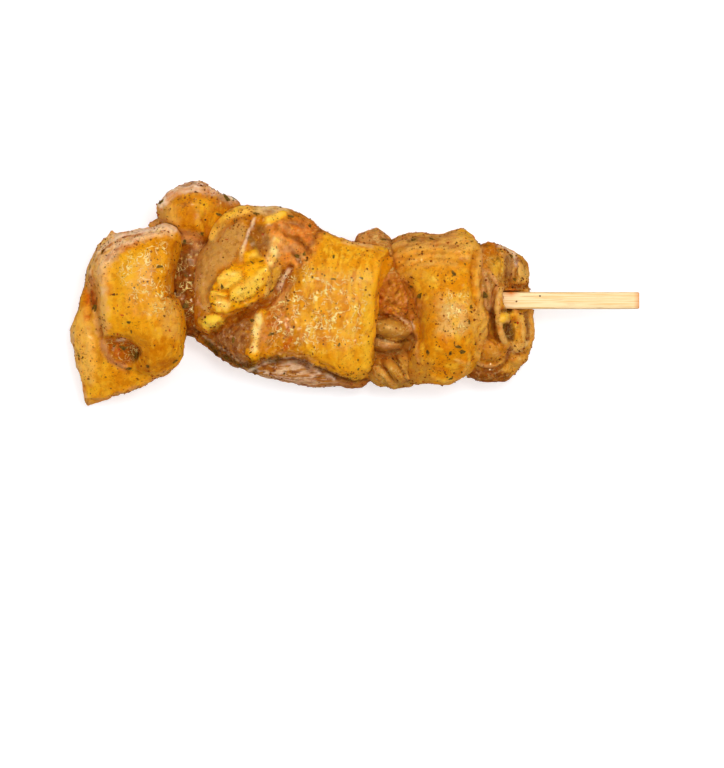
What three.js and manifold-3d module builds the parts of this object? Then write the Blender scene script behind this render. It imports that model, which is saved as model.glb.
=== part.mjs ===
// A raw marinated chicken kebab: six pieces of thigh meat pushed together on a square wooden stick.
// Millimetres, +Z up. X runs along the stick towards its bare end, and the kebab lies on the plane z = 0.
import * as THREE from "three";
import { mergeVertices } from "three/addons/utils/BufferGeometryUtils.js";
import { ImprovedNoise } from "three/addons/math/ImprovedNoise.js";
import Module from "manifold-3d";

// ---- Driving dimensions -------------------------------------------------------------------------
const STICK_LENGTH = 150;
const STICK_SIDE = 5;
const STICK_EDGE_RADIUS = 0.8;
const STICK_POINT = 15; // length of the sharpened end inside the first piece
const STICK_HEIGHT = 17; // of the stick's axis above the table
const HANDLE_END = 82.5; // x of the stick's bare end
const GAP = 0.35; // between pieces that are pressed together
const BORE_CLEARANCE = 0.3; // between the stick and the meat around it
const WOBBLE = 1; // unevenness of a cut face
const WOBBLE_LENGTH = 8;
const SAG = 1.5; // more of it low down, where the meat slumps on the table
const RIPPLE = 0.3; // smaller unevenness of the muscle
const RIPPLE_LENGTH = 3.4;
const FLAKE_THICKNESS = 0.7;

const noise = new ImprovedNoise();
const wasm = await Module();
wasm.setup();

// ---- Closed meshes and solids -------------------------------------------------------------------
function positionsOnly(geometry) {
  geometry.deleteAttribute("normal");
  geometry.deleteAttribute("uv");
  return mergeVertices(geometry, 1e-4);
}

function solidFrom(geometry) {
  const merged = positionsOnly(geometry);
  const solid = new wasm.Manifold(
    new wasm.Mesh({
      numProp: 3,
      vertProperties: new Float32Array(merged.attributes.position.array),
      triVerts: new Uint32Array(merged.index.array),
    }),
  );
  return solid;
}

function geometryFrom(solid) {
  const mesh = solid.getMesh();
  const geometry = new THREE.BufferGeometry();
  geometry.setAttribute("position", new THREE.BufferAttribute(new Float32Array(mesh.vertProperties), 3));
  geometry.setIndex(new THREE.BufferAttribute(new Uint32Array(mesh.triVerts), 1));
  geometry.computeVertexNormals();
  return geometry;
}

const joined = (solids) => solids.reduce((all, next) => all.add(next));

// ---- Lumps of meat ------------------------------------------------------------------------------
function distanceToPath(x, y, path) {
  let nearest = Infinity;
  for (let i = 0; i + 1 < path.length; i++) {
    const [ax, ay] = path[i];
    const [bx, by] = path[i + 1];
    const along = ((x - ax) * (bx - ax) + (y - ay) * (by - ay)) / ((bx - ax) ** 2 + (by - ay) ** 2);
    const t = Math.min(1, Math.max(0, along));
    nearest = Math.min(nearest, Math.hypot(x - ax - t * (bx - ax), y - ay - t * (by - ay)));
  }
  return nearest;
}

// How far ridges (positive heights) and furrows (negative) lift the upper surface at a point in plan.
function reliefAt(x, y, relief) {
  return relief.reduce(
    (lift, { path, width, height }) => lift + height * Math.exp(-((distanceToPath(x, y, path) / width) ** 2)),
    0,
  );
}

// A lump drawn by its outline in plan: a ball is squared off and mapped so that its equator follows the outline,
// and its top and bottom become a crown and a base. squareness 2 is round and 4 is boxy. slope tips the crown,
// as rise per millimetre in x and y.
function lump({ plan, low, high, detail = 6, squareness = 2.8, slope = [0, 0], relief = [] }, grow = 0) {
  const outline = plan.map(([x, y]) => new THREE.Vector3(x, y, 0));
  if (THREE.ShapeUtils.area(outline) < 0) outline.reverse();
  const curve = new THREE.CatmullRomCurve3(outline, true, "centripetal");
  const centre = outline.reduce((sum, p) => sum.add(p), new THREE.Vector3()).divideScalar(outline.length);
  const ball = positionsOnly(new THREE.IcosahedronGeometry(1, detail));
  const vertex = ball.attributes.position;
  const point = new THREE.Vector3();
  for (let i = 0; i < vertex.count; i++) {
    point.fromBufferAttribute(vertex, i);
    const turn = (Math.atan2(point.y, point.x) / (2 * Math.PI) + 1) % 1;
    const flat = Math.hypot(point.x, point.y);
    const reach = (flat ** squareness + Math.abs(point.z) ** squareness) ** (-1 / squareness);
    const share = (1 + point.z * reach) / 2; // 0 at the base and 1 at the crown
    point.lerpVectors(centre, curve.getPointAt(turn), flat * reach);
    const lift = slope[0] * (point.x - centre.x) + slope[1] * (point.y - centre.y);
    const height = high - low + lift + reliefAt(point.x, point.y, relief);
    vertex.setXYZ(i, point.x, point.y, low + share * height);
  }
  ball.computeVertexNormals();
  roughen(ball, grow);
  return solidFrom(ball);
}

// Pushes each vertex out along its normal by the unevenness of cut meat, and by grow.
function roughen(geometry, grow) {
  const vertex = geometry.attributes.position;
  const normal = geometry.attributes.normal;
  for (let i = 0; i < vertex.count; i++) {
    const [x, y, z] = [vertex.getX(i), vertex.getY(i), vertex.getZ(i)];
    const slump = 1 + SAG * Math.max(0, 1 - z / STICK_HEIGHT);
    const wobble = WOBBLE * slump * noise.noise(x / WOBBLE_LENGTH, y / WOBBLE_LENGTH, z / WOBBLE_LENGTH);
    const ripple = RIPPLE * noise.noise(x / RIPPLE_LENGTH, y / RIPPLE_LENGTH, z / RIPPLE_LENGTH + 7);
    const push = wobble + ripple + grow;
    vertex.setXYZ(
      i,
      x + normal.getX(i) * push,
      y + normal.getY(i) * push,
      Math.max(-grow, z + normal.getZ(i) * push), // settled flat on the table
    );
  }
}

// A sausage-shaped fold between two points in plan, with its middle raised or sagging by bow.
function fold({ from, to, width, low, high, bow = 0, detail = 3 }, grow = 0) {
  const [ax, ay] = from;
  const [bx, by] = to;
  const length = Math.hypot(bx - ax, by - ay);
  const [ux, uy] = [(bx - ax) / length, (by - ay) / length];
  const steps = 10;
  const plan = [];
  for (let i = 0; i < steps; i++) {
    const angle = (2 * Math.PI * i) / steps;
    const along = (length / 2) * Math.cos(angle);
    const across = (width / 2) * Math.sin(angle) + bow * (1 - Math.cos(angle) ** 2);
    plan.push([(ax + bx) / 2 + ux * along - uy * across, (ay + by) / 2 + uy * along + ux * across]);
  }
  return lump({ plan, low, high, detail, squareness: 2.1 }, grow);
}

// ---- The stick ----------------------------------------------------------------------------------
function stick(grow = 0) {
  const half = STICK_SIDE / 2 + grow;
  const radius = STICK_EDGE_RADIUS;
  const section = new THREE.Shape();
  section.moveTo(-half + radius, -half);
  section.lineTo(half - radius, -half);
  section.absarc(half - radius, -half + radius, radius, -Math.PI / 2, 0, false);
  section.lineTo(half, half - radius);
  section.absarc(half - radius, half - radius, radius, 0, Math.PI / 2, false);
  section.lineTo(-half + radius, half);
  section.absarc(-half + radius, half - radius, radius, Math.PI / 2, Math.PI, false);
  section.lineTo(-half, -half + radius);
  section.absarc(-half + radius, -half + radius, radius, Math.PI, 1.5 * Math.PI, false);
  const length = STICK_LENGTH + 2 * grow;
  const steps = Math.round(length / STICK_POINT);
  const body = new THREE.ExtrudeGeometry(section, { depth: length, steps, bevelEnabled: false, curveSegments: 1 });
  const vertex = body.attributes.position;
  for (let i = 0; i < vertex.count; i++) {
    const along = vertex.getZ(i);
    const taper = Math.min(1, 0.22 + (0.78 * along) / STICK_POINT);
    vertex.setXYZ(i, along, vertex.getX(i) * taper, vertex.getY(i) * taper);
  }
  body.translate(HANDLE_END - STICK_LENGTH - grow, 0, STICK_HEIGHT);
  return solidFrom(body);
}

// ---- The six pieces of meat ---------------------------------------------------------------------
// Outlines in plan, in order along the stick from its hidden point to its bare end.
const END_SLAB = {
  lumps: [
    {
      plan: [
        [-51.2, 20.4], [-55, 22.3], [-60, 20.9], [-66, 20.2], [-71, 18.3], [-74.5, 14], [-76.8, 8], [-75.6, 2],
        [-74.4, -4], [-73.2, -10], [-71.8, -15], [-67, -18.5], [-60, -21.3], [-53.5, -20.8], [-50, -16.5],
        [-49.2, -9], [-50.6, -2], [-52.9, 4], [-52, 10], [-50.5, 15],
      ],
      low: 0, high: 29, detail: 6, slope: [0.06, 0.06],
      relief: [
        { path: [[-69, -14.5], [-64.5, -16]], width: 3.6, height: -9 },
        { path: [[-73.5, 12], [-72.5, 2], [-72, -8]], width: 2.2, height: 1.8 },
      ],
    },
    {
      plan: [
        [-70.3, 20.2], [-74.5, 15.2], [-77.4, 10], [-79.5, 3], [-81.7, -4], [-83.2, -9], [-82.2, -16], [-80.3, -21],
        [-79.3, -26], [-78.4, -30.6], [-75, -30], [-71, -28.1], [-65.5, -26.8], [-59.5, -23.5], [-53, -20.5],
        [-54, -10], [-60, 0], [-65, 12],
      ],
      low: 0, high: 18, detail: 4, slope: [0.08, 0.16],
    },
  ],
};

const NUB = {
  lumps: [
    {
      plan: [
        [-57.6, 25.5], [-56.4, 28.8], [-53.5, 31.6], [-50, 33], [-46, 34.1], [-42.5, 33.3], [-39.5, 31.4],
        [-35.3, 30.8], [-32.6, 28], [-37, 22], [-42, 15], [-45, 17.5], [-50, 18.5], [-55.5, 21.5],
      ],
      low: 3, high: 23, detail: 4, squareness: 2.5, slope: [0, -0.1],
    },
    {
      plan: [
        [-52, 22], [-46, 23], [-41, 18], [-41.5, 6], [-42.5, -5], [-44, -9.8], [-46.5, -11], [-49.5, -9.5],
        [-53.5, -3], [-55.5, 6], [-54.5, 15],
      ],
      low: 1, high: 20.5, detail: 3, slope: [0, 0.06],
    },
  ],
  folds: [{ from: [-59.6, 21.2], to: [-53, 22.8], width: 3.4, low: 5, high: 15, detail: 2 }],
};

const FATTY_SLAB = {
  lumps: [
    {
      plan: [
        [-45.3, -8.8], [-46, -2], [-46.1, 6], [-45.2, 12], [-42.2, 17.3], [-40.8, 21.5], [-37, 25.4], [-32, 27.3],
        [-26, 27.4], [-22, 27.8], [-18.3, 26.8], [-14.5, 24.7], [-10.3, 21.8], [-8.5, 17], [-12, 11.5], [-18, 8],
        [-21.5, 3.5], [-25, -1], [-30, -4], [-35, -6.5], [-41, -9.6],
      ],
      low: 1, high: 28, detail: 6, slope: [-0.04, 0.02],
      relief: [
        { path: [[-40, 1], [-30, 5], [-26, 9]], width: 4, height: 1.2 },
        { path: [[-42, -6.5], [-35, -4]], width: 2, height: 1.5 },
      ],
    },
    {
      plan: [
        [-22, 19], [-16, 22.2], [-9.6, 20.6], [-5, 18.2], [0, 16.1], [5.4, 15.8], [8.4, 15.3], [11, 12.3], [11.9, 9.8],
        [9.5, 6.5], [7.8, 0], [6.6, -8], [5.8, -15], [4.4, -20], [1, -22.6], [-5, -21.2], [-12, -18.3], [-19, -15.7],
        [-26, -18.3], [-32, -18.8], [-38, -15.4], [-41.5, -10], [-36, -3], [-29, 6],
      ],
      low: 2, high: 28, detail: 6, squareness: 3.6, slope: [0.13, 0.02],
      relief: [
        { path: [[11, 11], [8.2, 0], [6.8, -20]], width: 2.2, height: -4.5 },
        { path: [[-28, -5], [-28.5, -16]], width: 1.6, height: 1.6 },
        { path: [[-20, 6], [-25, -2], [-37, -6]], width: 2.2, height: -2 },
      ],
    },
    {
      plan: [
        [-47.6, -10.6], [-41, -6], [-30, -2], [-10, 0], [4, -4], [6.4, -15], [5.6, -22], [1, -25.6], [-3, -24.9],
        [-10, -24.8], [-18, -24.3], [-25, -22.5], [-32, -20.3], [-38, -17.5], [-42.5, -12.9],
      ],
      low: 0, high: 18, detail: 4,
    },
  ],
};

const CURLED_PIECE = {
  lumps: [
    {
      plan: [
        [-1, 16.6], [1, 19.1], [3.8, 20], [6, 21.8], [7.8, 19.8], [10.5, 18.2], [15, 8], [20, 0], [21, -10], [19, -20],
        [16.6, -24.6], [12, -24.9], [6, -24.2], [1, -20], [0, -5], [1, 8],
      ],
      low: 1, high: 21, detail: 4, slope: [0, 0.08],
      relief: [
        { path: [[8, -10], [14, -12]], width: 5, height: -4 },
        { path: [[10, 10], [11, 0]], width: 3, height: 1.5 },
      ],
    },
  ],
  folds: [
    { from: [1, -7.8], to: [17, -9], width: 6.6, low: 8, high: 23, bow: 1 },
    { from: [2, -11.4], to: [15.8, -11.8], width: 5.4, low: 8, high: 21, bow: -1.4 },
    { from: [4, -17], to: [10.6, -25], width: 4.2, low: 3, high: 19, bow: 0.6, detail: 2 },
    { from: [7, -15.5], to: [14, -25], width: 4.4, low: 3, high: 20.5, bow: 0.8, detail: 2 },
    { from: [11, -14.5], to: [17.5, -24.6], width: 4.6, low: 3, high: 21, bow: 1, detail: 2 },
  ],
};

const DOMED_PIECE = {
  lumps: [
    {
      plan: [
        [10.6, 17], [12.5, 19.2], [18, 19.8], [24, 19.2], [30, 20.6], [33.7, 19.8], [36.3, 16], [38.8, 11.3],
        [37.3, 6], [37.2, 1], [38.5, -4], [38.9, -8], [37.2, -12], [35.3, -17], [34.2, -20.2], [31, -22.3],
        [27.5, -24.2], [21, -24.4], [16.4, -24.3], [15, -20], [15.4, -16], [17.4, -12], [16.6, -8], [13, -4], [11.5, 4],
        [10.4, 10],
      ],
      low: 0, high: 27.5, detail: 7, squareness: 2.7, slope: [0.16, -0.04],
      relief: [
        { path: [[27, -2], [28, -12]], width: 7, height: 2.4 },
        { path: [[12, 14], [22, 15.5], [34, 15]], width: 1.8, height: 1.2 },
        { path: [[13, 9], [24, 11.5], [34, 10.5]], width: 1.6, height: 1 },
        { path: [[15, 1], [16, -5]], width: 3.5, height: -3 },
      ],
    },
  ],
};

const TIP_CLUSTER = {
  lumps: [
    {
      plan: [
        [34, 15], [38.6, 16.6], [43, 16.1], [46.5, 13.8], [50, 10.8], [51.3, 5], [51, 0], [52, -7], [51.3, -13],
        [49.6, -17], [46.7, -20.9], [42, -22.8], [37, -23.5], [32, -22.3], [31, -10], [31, 5],
      ],
      low: 1, high: 17, detail: 4,
    },
    {
      plan: [
        [35, 15.4], [39, 16.7], [43.4, 16.3], [45.6, 13], [45.4, 8], [43.2, 4.2], [42.2, 0], [42, -3], [38, -5], [33, -3],
        [32, 6], [33, 12],
      ],
      low: 4, high: 24, detail: 4, slope: [-0.35, 0],
    },
  ],
  folds: [
    { from: [47.4, 13.2], to: [48, 2.8], width: 7, low: 5, high: 20.5, bow: -0.8 },
    { from: [39.4, 9], to: [43.6, -15.4], width: 4.4, low: 8, high: 24, bow: 1.6 },
    { from: [48, -2.6], to: [47.4, -15.6], width: 6.6, low: 5, high: 19.5, bow: -0.6 },
    { from: [45.5, -3], to: [43.4, -9], width: 3.6, low: 5, high: 19, detail: 2 },
    { from: [34, -12.4], to: [44.5, -16], width: 8.6, low: 4, high: 21, bow: 0.6 },
    { from: [43, -17.2], to: [50.4, -16.2], width: 4.6, low: 4, high: 16.5, detail: 2 },
    { from: [33, -20.8], to: [46.5, -20.4], width: 5.4, low: 2, high: 14.5, detail: 2 },
  ],
};

// Dried herb flakes big enough to feel: [x, y, length, turn in degrees], lying where a drop from above lands.
const HERB_FLAKES = {
  end_slab: [
    [-67, -13.4, 3.2, 10], [-63.4, -16.2, 3.6, 60], [-65.4, -19.6, 3, 20], [-75.2, -2.4, 4, 85], [-56.2, 9.5, 2.4, 20],
    [-76.4, 9.4, 2, 100], [-65, -6.4, 1.8, 0], [-80, -16, 1.8, 10], [-59.8, -19, 1.8, 30], [-51.9, -17.6, 2, 55],
  ],
  nub: [[-37, 29.4, 2.8, 110], [-34.9, 29.4, 2, 60], [-39.2, 24.8, 2, 0], [-48.6, -1.6, 3, 50], [-56, 28.4, 2, 50]],
  fatty_slab: [
    [-16.6, 12.6, 2.8, 40], [-24, -9.8, 2.8, 35], [-35, -11.4, 3, 95], [-38, 3.8, 2, 120], [-26.8, 11.2, 2, 60],
    [-28.4, 24.9, 2.4, 20], [-6, 6, 2, 20], [-6, 12.4, 1.6, 100], [2, 6.3, 1.6, 20], [-4.4, -12.9, 2, 75],
    [-29.5, 10.9, 1.7, 150],
  ],
  curled_piece: [[8.4, 17.6, 2.4, 5]],
  domed_piece: [
    [16.4, 4, 1.8, 20], [18.8, 1.2, 3, 40], [28.6, 7.5, 2.2, 125], [29.9, -13.6, 2.8, 15], [27.6, -15.4, 2, 100],
    [31.2, -15, 2.2, 25], [22.4, 17.7, 2.2, 10], [17, 17.4, 2.2, 30], [33.5, -2, 1.8, 80], [21.2, -14.9, 2, 80],
  ],
  tip_cluster: [[37.6, 1.4, 3, 150], [45.4, 13, 2.6, 5], [46.4, 6.1, 2, 170], [43, -7.6, 2.4, 60]],
};

function meat({ lumps, folds = [] }, grow = 0) {
  return joined([...lumps.map((shape) => lump(shape, grow)), ...folds.map((shape) => fold(shape, grow))]);
}

// Where a drop from above lands on a solid, with the surface's normal there.
function landing(solid, x, y) {
  const above = new THREE.Raycaster(new THREE.Vector3(x, y, 100), new THREE.Vector3(0, 0, -1));
  const [hit] = above.intersectObject(new THREE.Mesh(geometryFrom(solid)));
  return hit;
}

function flake(solid, [x, y, length, degrees]) {
  const { point, face } = landing(solid, x, y);
  const shape = new THREE.IcosahedronGeometry(1, 0);
  shape.scale(length / 2, length / 3.4, FLAKE_THICKNESS / 2);
  shape.rotateZ(THREE.MathUtils.degToRad(degrees));
  const tip = new THREE.Quaternion().setFromUnitVectors(new THREE.Vector3(0, 0, 1), face.normal);
  shape.applyQuaternion(tip);
  shape.translate(point.x, point.y, point.z);
  return solidFrom(shape);
}

// ---- Assembly -----------------------------------------------------------------------------------
// A piece gives way to the pieces named in pressedBy, which lie over it.
const PIECES = [
  { name: "end_slab", shape: END_SLAB, pressedBy: [], colour: 0xd98a1c },
  { name: "nub", shape: NUB, pressedBy: [END_SLAB, FATTY_SLAB], colour: 0xb8700f },
  { name: "fatty_slab", shape: FATTY_SLAB, pressedBy: [], colour: 0xdf931a },
  { name: "curled_piece", shape: CURLED_PIECE, pressedBy: [FATTY_SLAB, DOMED_PIECE], colour: 0xb5742a },
  { name: "domed_piece", shape: DOMED_PIECE, pressedBy: [FATTY_SLAB], colour: 0xd08a22 },
  { name: "tip_cluster", shape: TIP_CLUSTER, pressedBy: [DOMED_PIECE], colour: 0xb87a2a },
];

function standardMesh(name, geometry, colour, roughness) {
  const mesh = new THREE.Mesh(geometry, new THREE.MeshStandardMaterial({ color: colour, roughness, metalness: 0 }));
  mesh.name = name;
  return mesh;
}

const kebab = new THREE.Group();
const bore = stick(BORE_CLEARANCE);
kebab.add(standardMesh("stick", geometryFrom(stick()), 0xf3cf87, 0.55));

for (const { name, shape, pressedBy, colour } of PIECES) {
  let solid = meat(shape);
  const neighbours = pressedBy.map((other) => meat(other, GAP));
  for (const cutter of [...neighbours, bore]) solid = solid.subtract(cutter);
  const largest = solid.decompose().reduce((a, b) => (a.volume() > b.volume() ? a : b));
  const flakes = HERB_FLAKES[name].map((spot) => flake(largest, spot));
  kebab.add(standardMesh(name, geometryFrom(joined([largest, ...flakes])), colour, 0.35));
}

// The origin is on the table, under the middle of the kebab's box.
const box = new THREE.Box3().setFromObject(kebab);
const middle = box.getCenter(new THREE.Vector3());
kebab.position.set(-middle.x, -middle.y, -box.min.z);

export default kebab;
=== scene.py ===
# A raw marinated chicken kebab: folded pieces of thigh meat on a square wooden stick, seen from above.
import itertools
import math

import bpy
import numpy as np
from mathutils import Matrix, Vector
from mathutils.bvhtree import BVHTree


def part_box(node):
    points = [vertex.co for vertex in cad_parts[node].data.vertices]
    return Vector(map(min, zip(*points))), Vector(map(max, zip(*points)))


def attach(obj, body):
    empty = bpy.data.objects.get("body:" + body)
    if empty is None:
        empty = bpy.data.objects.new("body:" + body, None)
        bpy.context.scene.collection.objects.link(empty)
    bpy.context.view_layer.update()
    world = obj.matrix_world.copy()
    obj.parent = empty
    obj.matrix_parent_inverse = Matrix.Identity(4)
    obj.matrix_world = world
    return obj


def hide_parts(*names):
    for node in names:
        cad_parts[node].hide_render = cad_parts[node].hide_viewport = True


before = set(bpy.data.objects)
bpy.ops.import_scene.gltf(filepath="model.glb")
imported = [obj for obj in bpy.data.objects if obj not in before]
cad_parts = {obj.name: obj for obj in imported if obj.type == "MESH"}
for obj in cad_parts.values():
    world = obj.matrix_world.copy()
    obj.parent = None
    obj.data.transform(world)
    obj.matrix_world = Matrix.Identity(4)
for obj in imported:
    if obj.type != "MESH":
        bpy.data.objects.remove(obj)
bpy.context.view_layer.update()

# ---- Places -------------------------------------------------------------------------------------
# Everything on the kebab is placed in kebab millimetres: x along the stick, y across it from the stick's
# axis, and z up from the table. The stick's bare end is at x = 82.5.
MM = 0.001
HANDLE_END = 82.5
STICK_SIDE = 5
STICK_LENGTH = 150
STICK_HEIGHT = 17
STICK_LOW, STICK_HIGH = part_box("stick")
ORIGIN = np.array([STICK_HIGH.x - HANDLE_END * MM, (STICK_LOW.y + STICK_HIGH.y) / 2, 0])


def metres(points):
    """Kebab millimetres as the frame's metres."""
    return np.asarray(points, float) * MM + ORIGIN


def millimetres(points):
    return (np.asarray(points, float) - ORIGIN) / MM


# ---- Colours ------------------------------------------------------------------------------------
def paint(red, green, blue):
    """A colour, with channels from 0 to 255, as the linear values that the shaders take."""
    share = np.array([red, green, blue]) / 255
    return np.where(share <= 0.04045, share / 12.92, ((share + 0.055) / 1.055) ** 2.4)


GOLDEN = paint(236, 160, 20)
YELLOW = paint(242, 178, 30)
PALE_GOLD = paint(243, 184, 46)
TURMERIC = paint(226, 140, 6)
AMBER = paint(202, 114, 4)
BURNT_ORANGE = paint(172, 84, 6)
ORANGE_RED = paint(204, 86, 6)
RED_BROWN = paint(122, 50, 6)
BROWN = paint(148, 80, 24)
DARK_BROWN = paint(92, 44, 12)
GREY_BROWN = paint(138, 92, 50)
OLIVE_TAN = paint(190, 130, 44)
TAN = paint(212, 146, 50)
PALE_TAN = paint(230, 174, 82)
CREAM = paint(246, 204, 128)
PINK_TAN = paint(214, 148, 88)
PINK_WHITE = paint(236, 196, 154)
CHALKY = paint(248, 220, 186)
FAT_YELLOW = paint(248, 176, 16)
FAT_PALE = paint(254, 208, 80)
DARK_OLIVE = paint(84, 58, 16)
WOOD = paint(252, 220, 166)
WOOD_GRAIN = paint(234, 184, 104)


# ---- Unevenness ---------------------------------------------------------------------------------
SHUFFLED = np.random.default_rng(5).permutation(256)
SLOPES = np.random.default_rng(9).normal(size=(256, 3))
SLOPES /= np.linalg.norm(SLOPES, axis=1)[:, None]


def noise(points):
    """Smooth noise from about -1 to 1, with lumps about one unit across."""
    cell = np.floor(points).astype(int)
    offset = points - cell
    fade = offset**3 * (offset * (offset * 6 - 15) + 10)
    total = np.zeros(len(points))
    for corner in itertools.product((0, 1), repeat=3):
        hashed = SHUFFLED[(cell[:, 2] + corner[2]) & 255]
        hashed = SHUFFLED[(hashed + cell[:, 1] + corner[1]) & 255]
        hashed = SHUFFLED[(hashed + cell[:, 0] + corner[0]) & 255]
        weight = np.prod(np.where(corner, fade, 1 - fade), axis=1)
        total += weight * np.einsum("ij,ij->i", SLOPES[hashed], offset - corner)
    return total * 1.6


def layered_noise(points, layers=3):
    return sum(noise(points * 2.1**i + 17.3 * i) * 0.5**i for i in range(layers))


def blend_step(low, high, values):
    """0 below low and 1 above high, with a soft step between."""
    share = np.clip((values - low) / (high - low), 0, 1)
    return share * share * (3 - 2 * share)


def distance_to_path(points, path):
    """From each point to a path of straight stretches, in as many directions as the path's points have."""
    path = np.asarray(path, float)
    if path.ndim == 1:
        path = path[None]
    points = points[:, : path.shape[1]]
    if len(path) == 1:
        return np.linalg.norm(points - path[0], axis=1)
    nearest = np.full(len(points), np.inf)
    for a, b in zip(path[:-1], path[1:]):
        along = np.clip((points - a) @ (b - a) / ((b - a) @ (b - a)), 0, 1)
        nearest = np.minimum(nearest, np.linalg.norm(points - a - along[:, None] * (b - a), axis=1))
    return nearest


# ---- Working the meat ---------------------------------------------------------------------------
SAME_CORNER = 0.002  # corners of a solid nearer than this are one, in millimetres
TABLE_GAP = 0.02  # how close the meat comes to the table


def deselect():
    if bpy.context.object and bpy.context.object.mode != "OBJECT":
        bpy.ops.object.mode_set(mode="OBJECT")
    bpy.ops.object.select_all(action="DESELECT")


def make_active(piece):
    deselect()
    piece.select_set(True)
    bpy.context.view_layer.objects.active = piece


def apply_modifier(piece, kind, **settings):
    modifier = piece.modifiers.new(kind.lower(), kind)
    for key, value in settings.items():
        setattr(modifier, key, value)
    make_active(piece)
    bpy.ops.object.modifier_apply(modifier=modifier.name)


class Flesh:
    """A piece of meat being worked. Its points are kept in kebab millimetres until it is done."""

    def __init__(self, node, grain, smoothing):
        self.node = node
        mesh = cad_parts[node].data.copy()
        self.piece = bpy.data.objects.new(f"{node}_meat", mesh)
        bpy.context.collection.objects.link(self.piece)
        make_active(self.piece)
        bpy.ops.object.mode_set(mode="EDIT")
        bpy.ops.mesh.select_all(action="SELECT")
        bpy.ops.mesh.remove_doubles(threshold=SAME_CORNER * MM)
        bpy.ops.object.mode_set(mode="OBJECT")
        apply_modifier(self.piece, "REMESH", mode="VOXEL", voxel_size=grain * MM)
        apply_modifier(self.piece, "SMOOTH", factor=0.5, iterations=smoothing)
        mesh = self.piece.data
        edges = np.zeros(len(mesh.edges) * 2, int)
        mesh.edges.foreach_get("vertices", edges)
        self.edges = edges.reshape(-1, 2)
        self.degree = np.bincount(edges, minlength=len(mesh.vertices))[:, None]
        self.points = millimetres(self.read("vertices", "co"))
        self.drift = 0.5 * np.column_stack([noise(self.points / 2.3 + k) for k in (3.1, 8.7, 14.9)])
        self.drift += 0.3 * np.column_stack([noise(self.points / 0.9 + k) for k in (1.7, 5.3, 9.1)])
        self.face()
        self.colour = np.tile(GOLDEN, (len(self.points), 1))
        self.wet, self.fat, self.contact = np.zeros((3, len(self.points)))
        self.spiced = np.ones(len(self.points))
        self.grain_area = grain**2
        self.raggedness = 1.0

    def read(self, what, key):
        values = np.zeros(len(self.piece.data.vertices) * 3)
        getattr(self.piece.data, what).foreach_get(key, values)
        return values.reshape(-1, 3)

    def faces(self):
        return [tuple(polygon.vertices) for polygon in self.piece.data.polygons]

    def face(self):
        """Lays the points into the mesh and reads which way each one faces."""
        self.piece.data.vertices.foreach_set("co", metres(self.points).ravel())
        self.piece.data.update()
        self.normals = self.read("vertex_normals", "vector")
        self.upward = blend_step(-0.15, 0.25, self.normals[:, 2])

    def spread(self, values, rounds):
        """The values averaged over each point's neighbours, again and again."""
        for _ in range(rounds):
            total = np.zeros_like(values)
            for column in range(values.shape[1]):
                for here, there in ((0, 1), (1, 0)):
                    total[:, column] += np.bincount(
                        self.edges[:, here], values[self.edges[:, there], column], len(values)
                    )
            values = (values + total) / (self.degree + 1)
        return values

    def hollowness(self, rounds=24):
        """How far each point lies below the surface smoothed around it, in millimetres."""
        away = self.spread(self.points, rounds) - self.points
        return np.einsum("ij,ij->i", away, self.normals)

    def push(self, amounts):
        """Moves the points outwards, but never through the table."""
        self.points += self.normals * np.broadcast_to(amounts, len(self.points))[:, None]
        self.points[:, 2] = np.maximum(self.points[:, 2], TABLE_GAP)
        self.face()

    def near(self, path, width):
        """1 on a path and fading to 0 beyond width. A path in plan reaches only what faces up."""
        share = np.exp(-((distance_to_path(self.points + self.raggedness * self.drift, path) / width) ** 2))
        return share * self.upward if len(np.atleast_2d(path)[0]) == 2 else share

    def zone(self, outline, soft=0.7, wander=1.0):
        """1 inside an outline drawn in plan, on what faces up, with a soft and uneven edge."""
        spots = self.points + wander * self.raggedness * self.drift
        edge = distance_to_path(spots, [*outline, outline[0]])
        x, y = spots[:, 0], spots[:, 1]
        inside = np.zeros(len(spots), bool)
        for (ax, ay), (bx, by) in zip(outline, [*outline[1:], outline[0]]):
            if ay != by:
                inside ^= ((ay > y) != (by > y)) & (x < (bx - ax) * (y - ay) / (by - ay) + ax)
        return blend_step(-soft, soft, np.where(inside, edge, -edge)) * self.upward

    def carve(self, strokes):
        """Ridges, of positive height, and furrows along paths: (path, width, height)."""
        self.push(sum(height * self.near(path, width) for path, width, height in strokes))

    def dab(self, strokes):
        """Strokes of colour along paths, thinning out here and there: (colour, amount, path, width)."""
        patchy = 0.35 + 0.65 * blend_step(-0.35, 0.25, noise(self.points / 2.6 + 23))
        for colour, amount, path, width in strokes:
            self.wash(colour, amount * patchy * np.minimum(1, 1.6 * self.near(path, width)))

    def fill(self, zones):
        """Colour over zones: (colour, amount, outline) or (colour, amount, outline, softness)."""
        for colour, amount, outline, *soft in zones:
            self.wash(colour, amount * self.zone(outline, *soft))

    def pull(self, place, reach, move):
        """Draws the meat round a place along a vector, as between two fingers."""
        share = np.exp(-((distance_to_path(self.points, place) / reach) ** 2))
        self.points += share[:, None] * np.array(move)
        self.face()

    def fibres(self, along, pitch, height, where=1.0, length=14):
        """Muscle fibres: noise drawn out along one axis, x, y or z, and kept fine across it."""
        spacing = np.full(3, float(pitch))
        spacing["xyz".index(along)] = length
        if along in "yz":
            spacing[1:] = length
        bent = self.points + 0.9 * noise(self.points / 7)[:, None]
        self.push(height * where * layered_noise(bent / spacing, 2))

    def lumps(self, pitch, height, where=1.0, layers=3):
        self.push(height * where * layered_noise(self.points / pitch, layers))

    def wrinkles(self, pitch, height, where=1.0):
        """Fine worm-like creases of the thin wet skin over the muscle."""
        drift = 0.35 * pitch * noise(self.points / pitch * 0.6 + 31)[:, None]
        crest = 1 - np.clip(np.abs(noise((self.points + drift) / pitch)) * 3.2, 0, 1)
        self.push(height * where * crest**1.5)

    def wash(self, colour, amount):
        amount = np.clip(np.broadcast_to(amount, len(self.points)), 0, 1)[:, None]
        self.colour += (colour - self.colour) * amount

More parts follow.
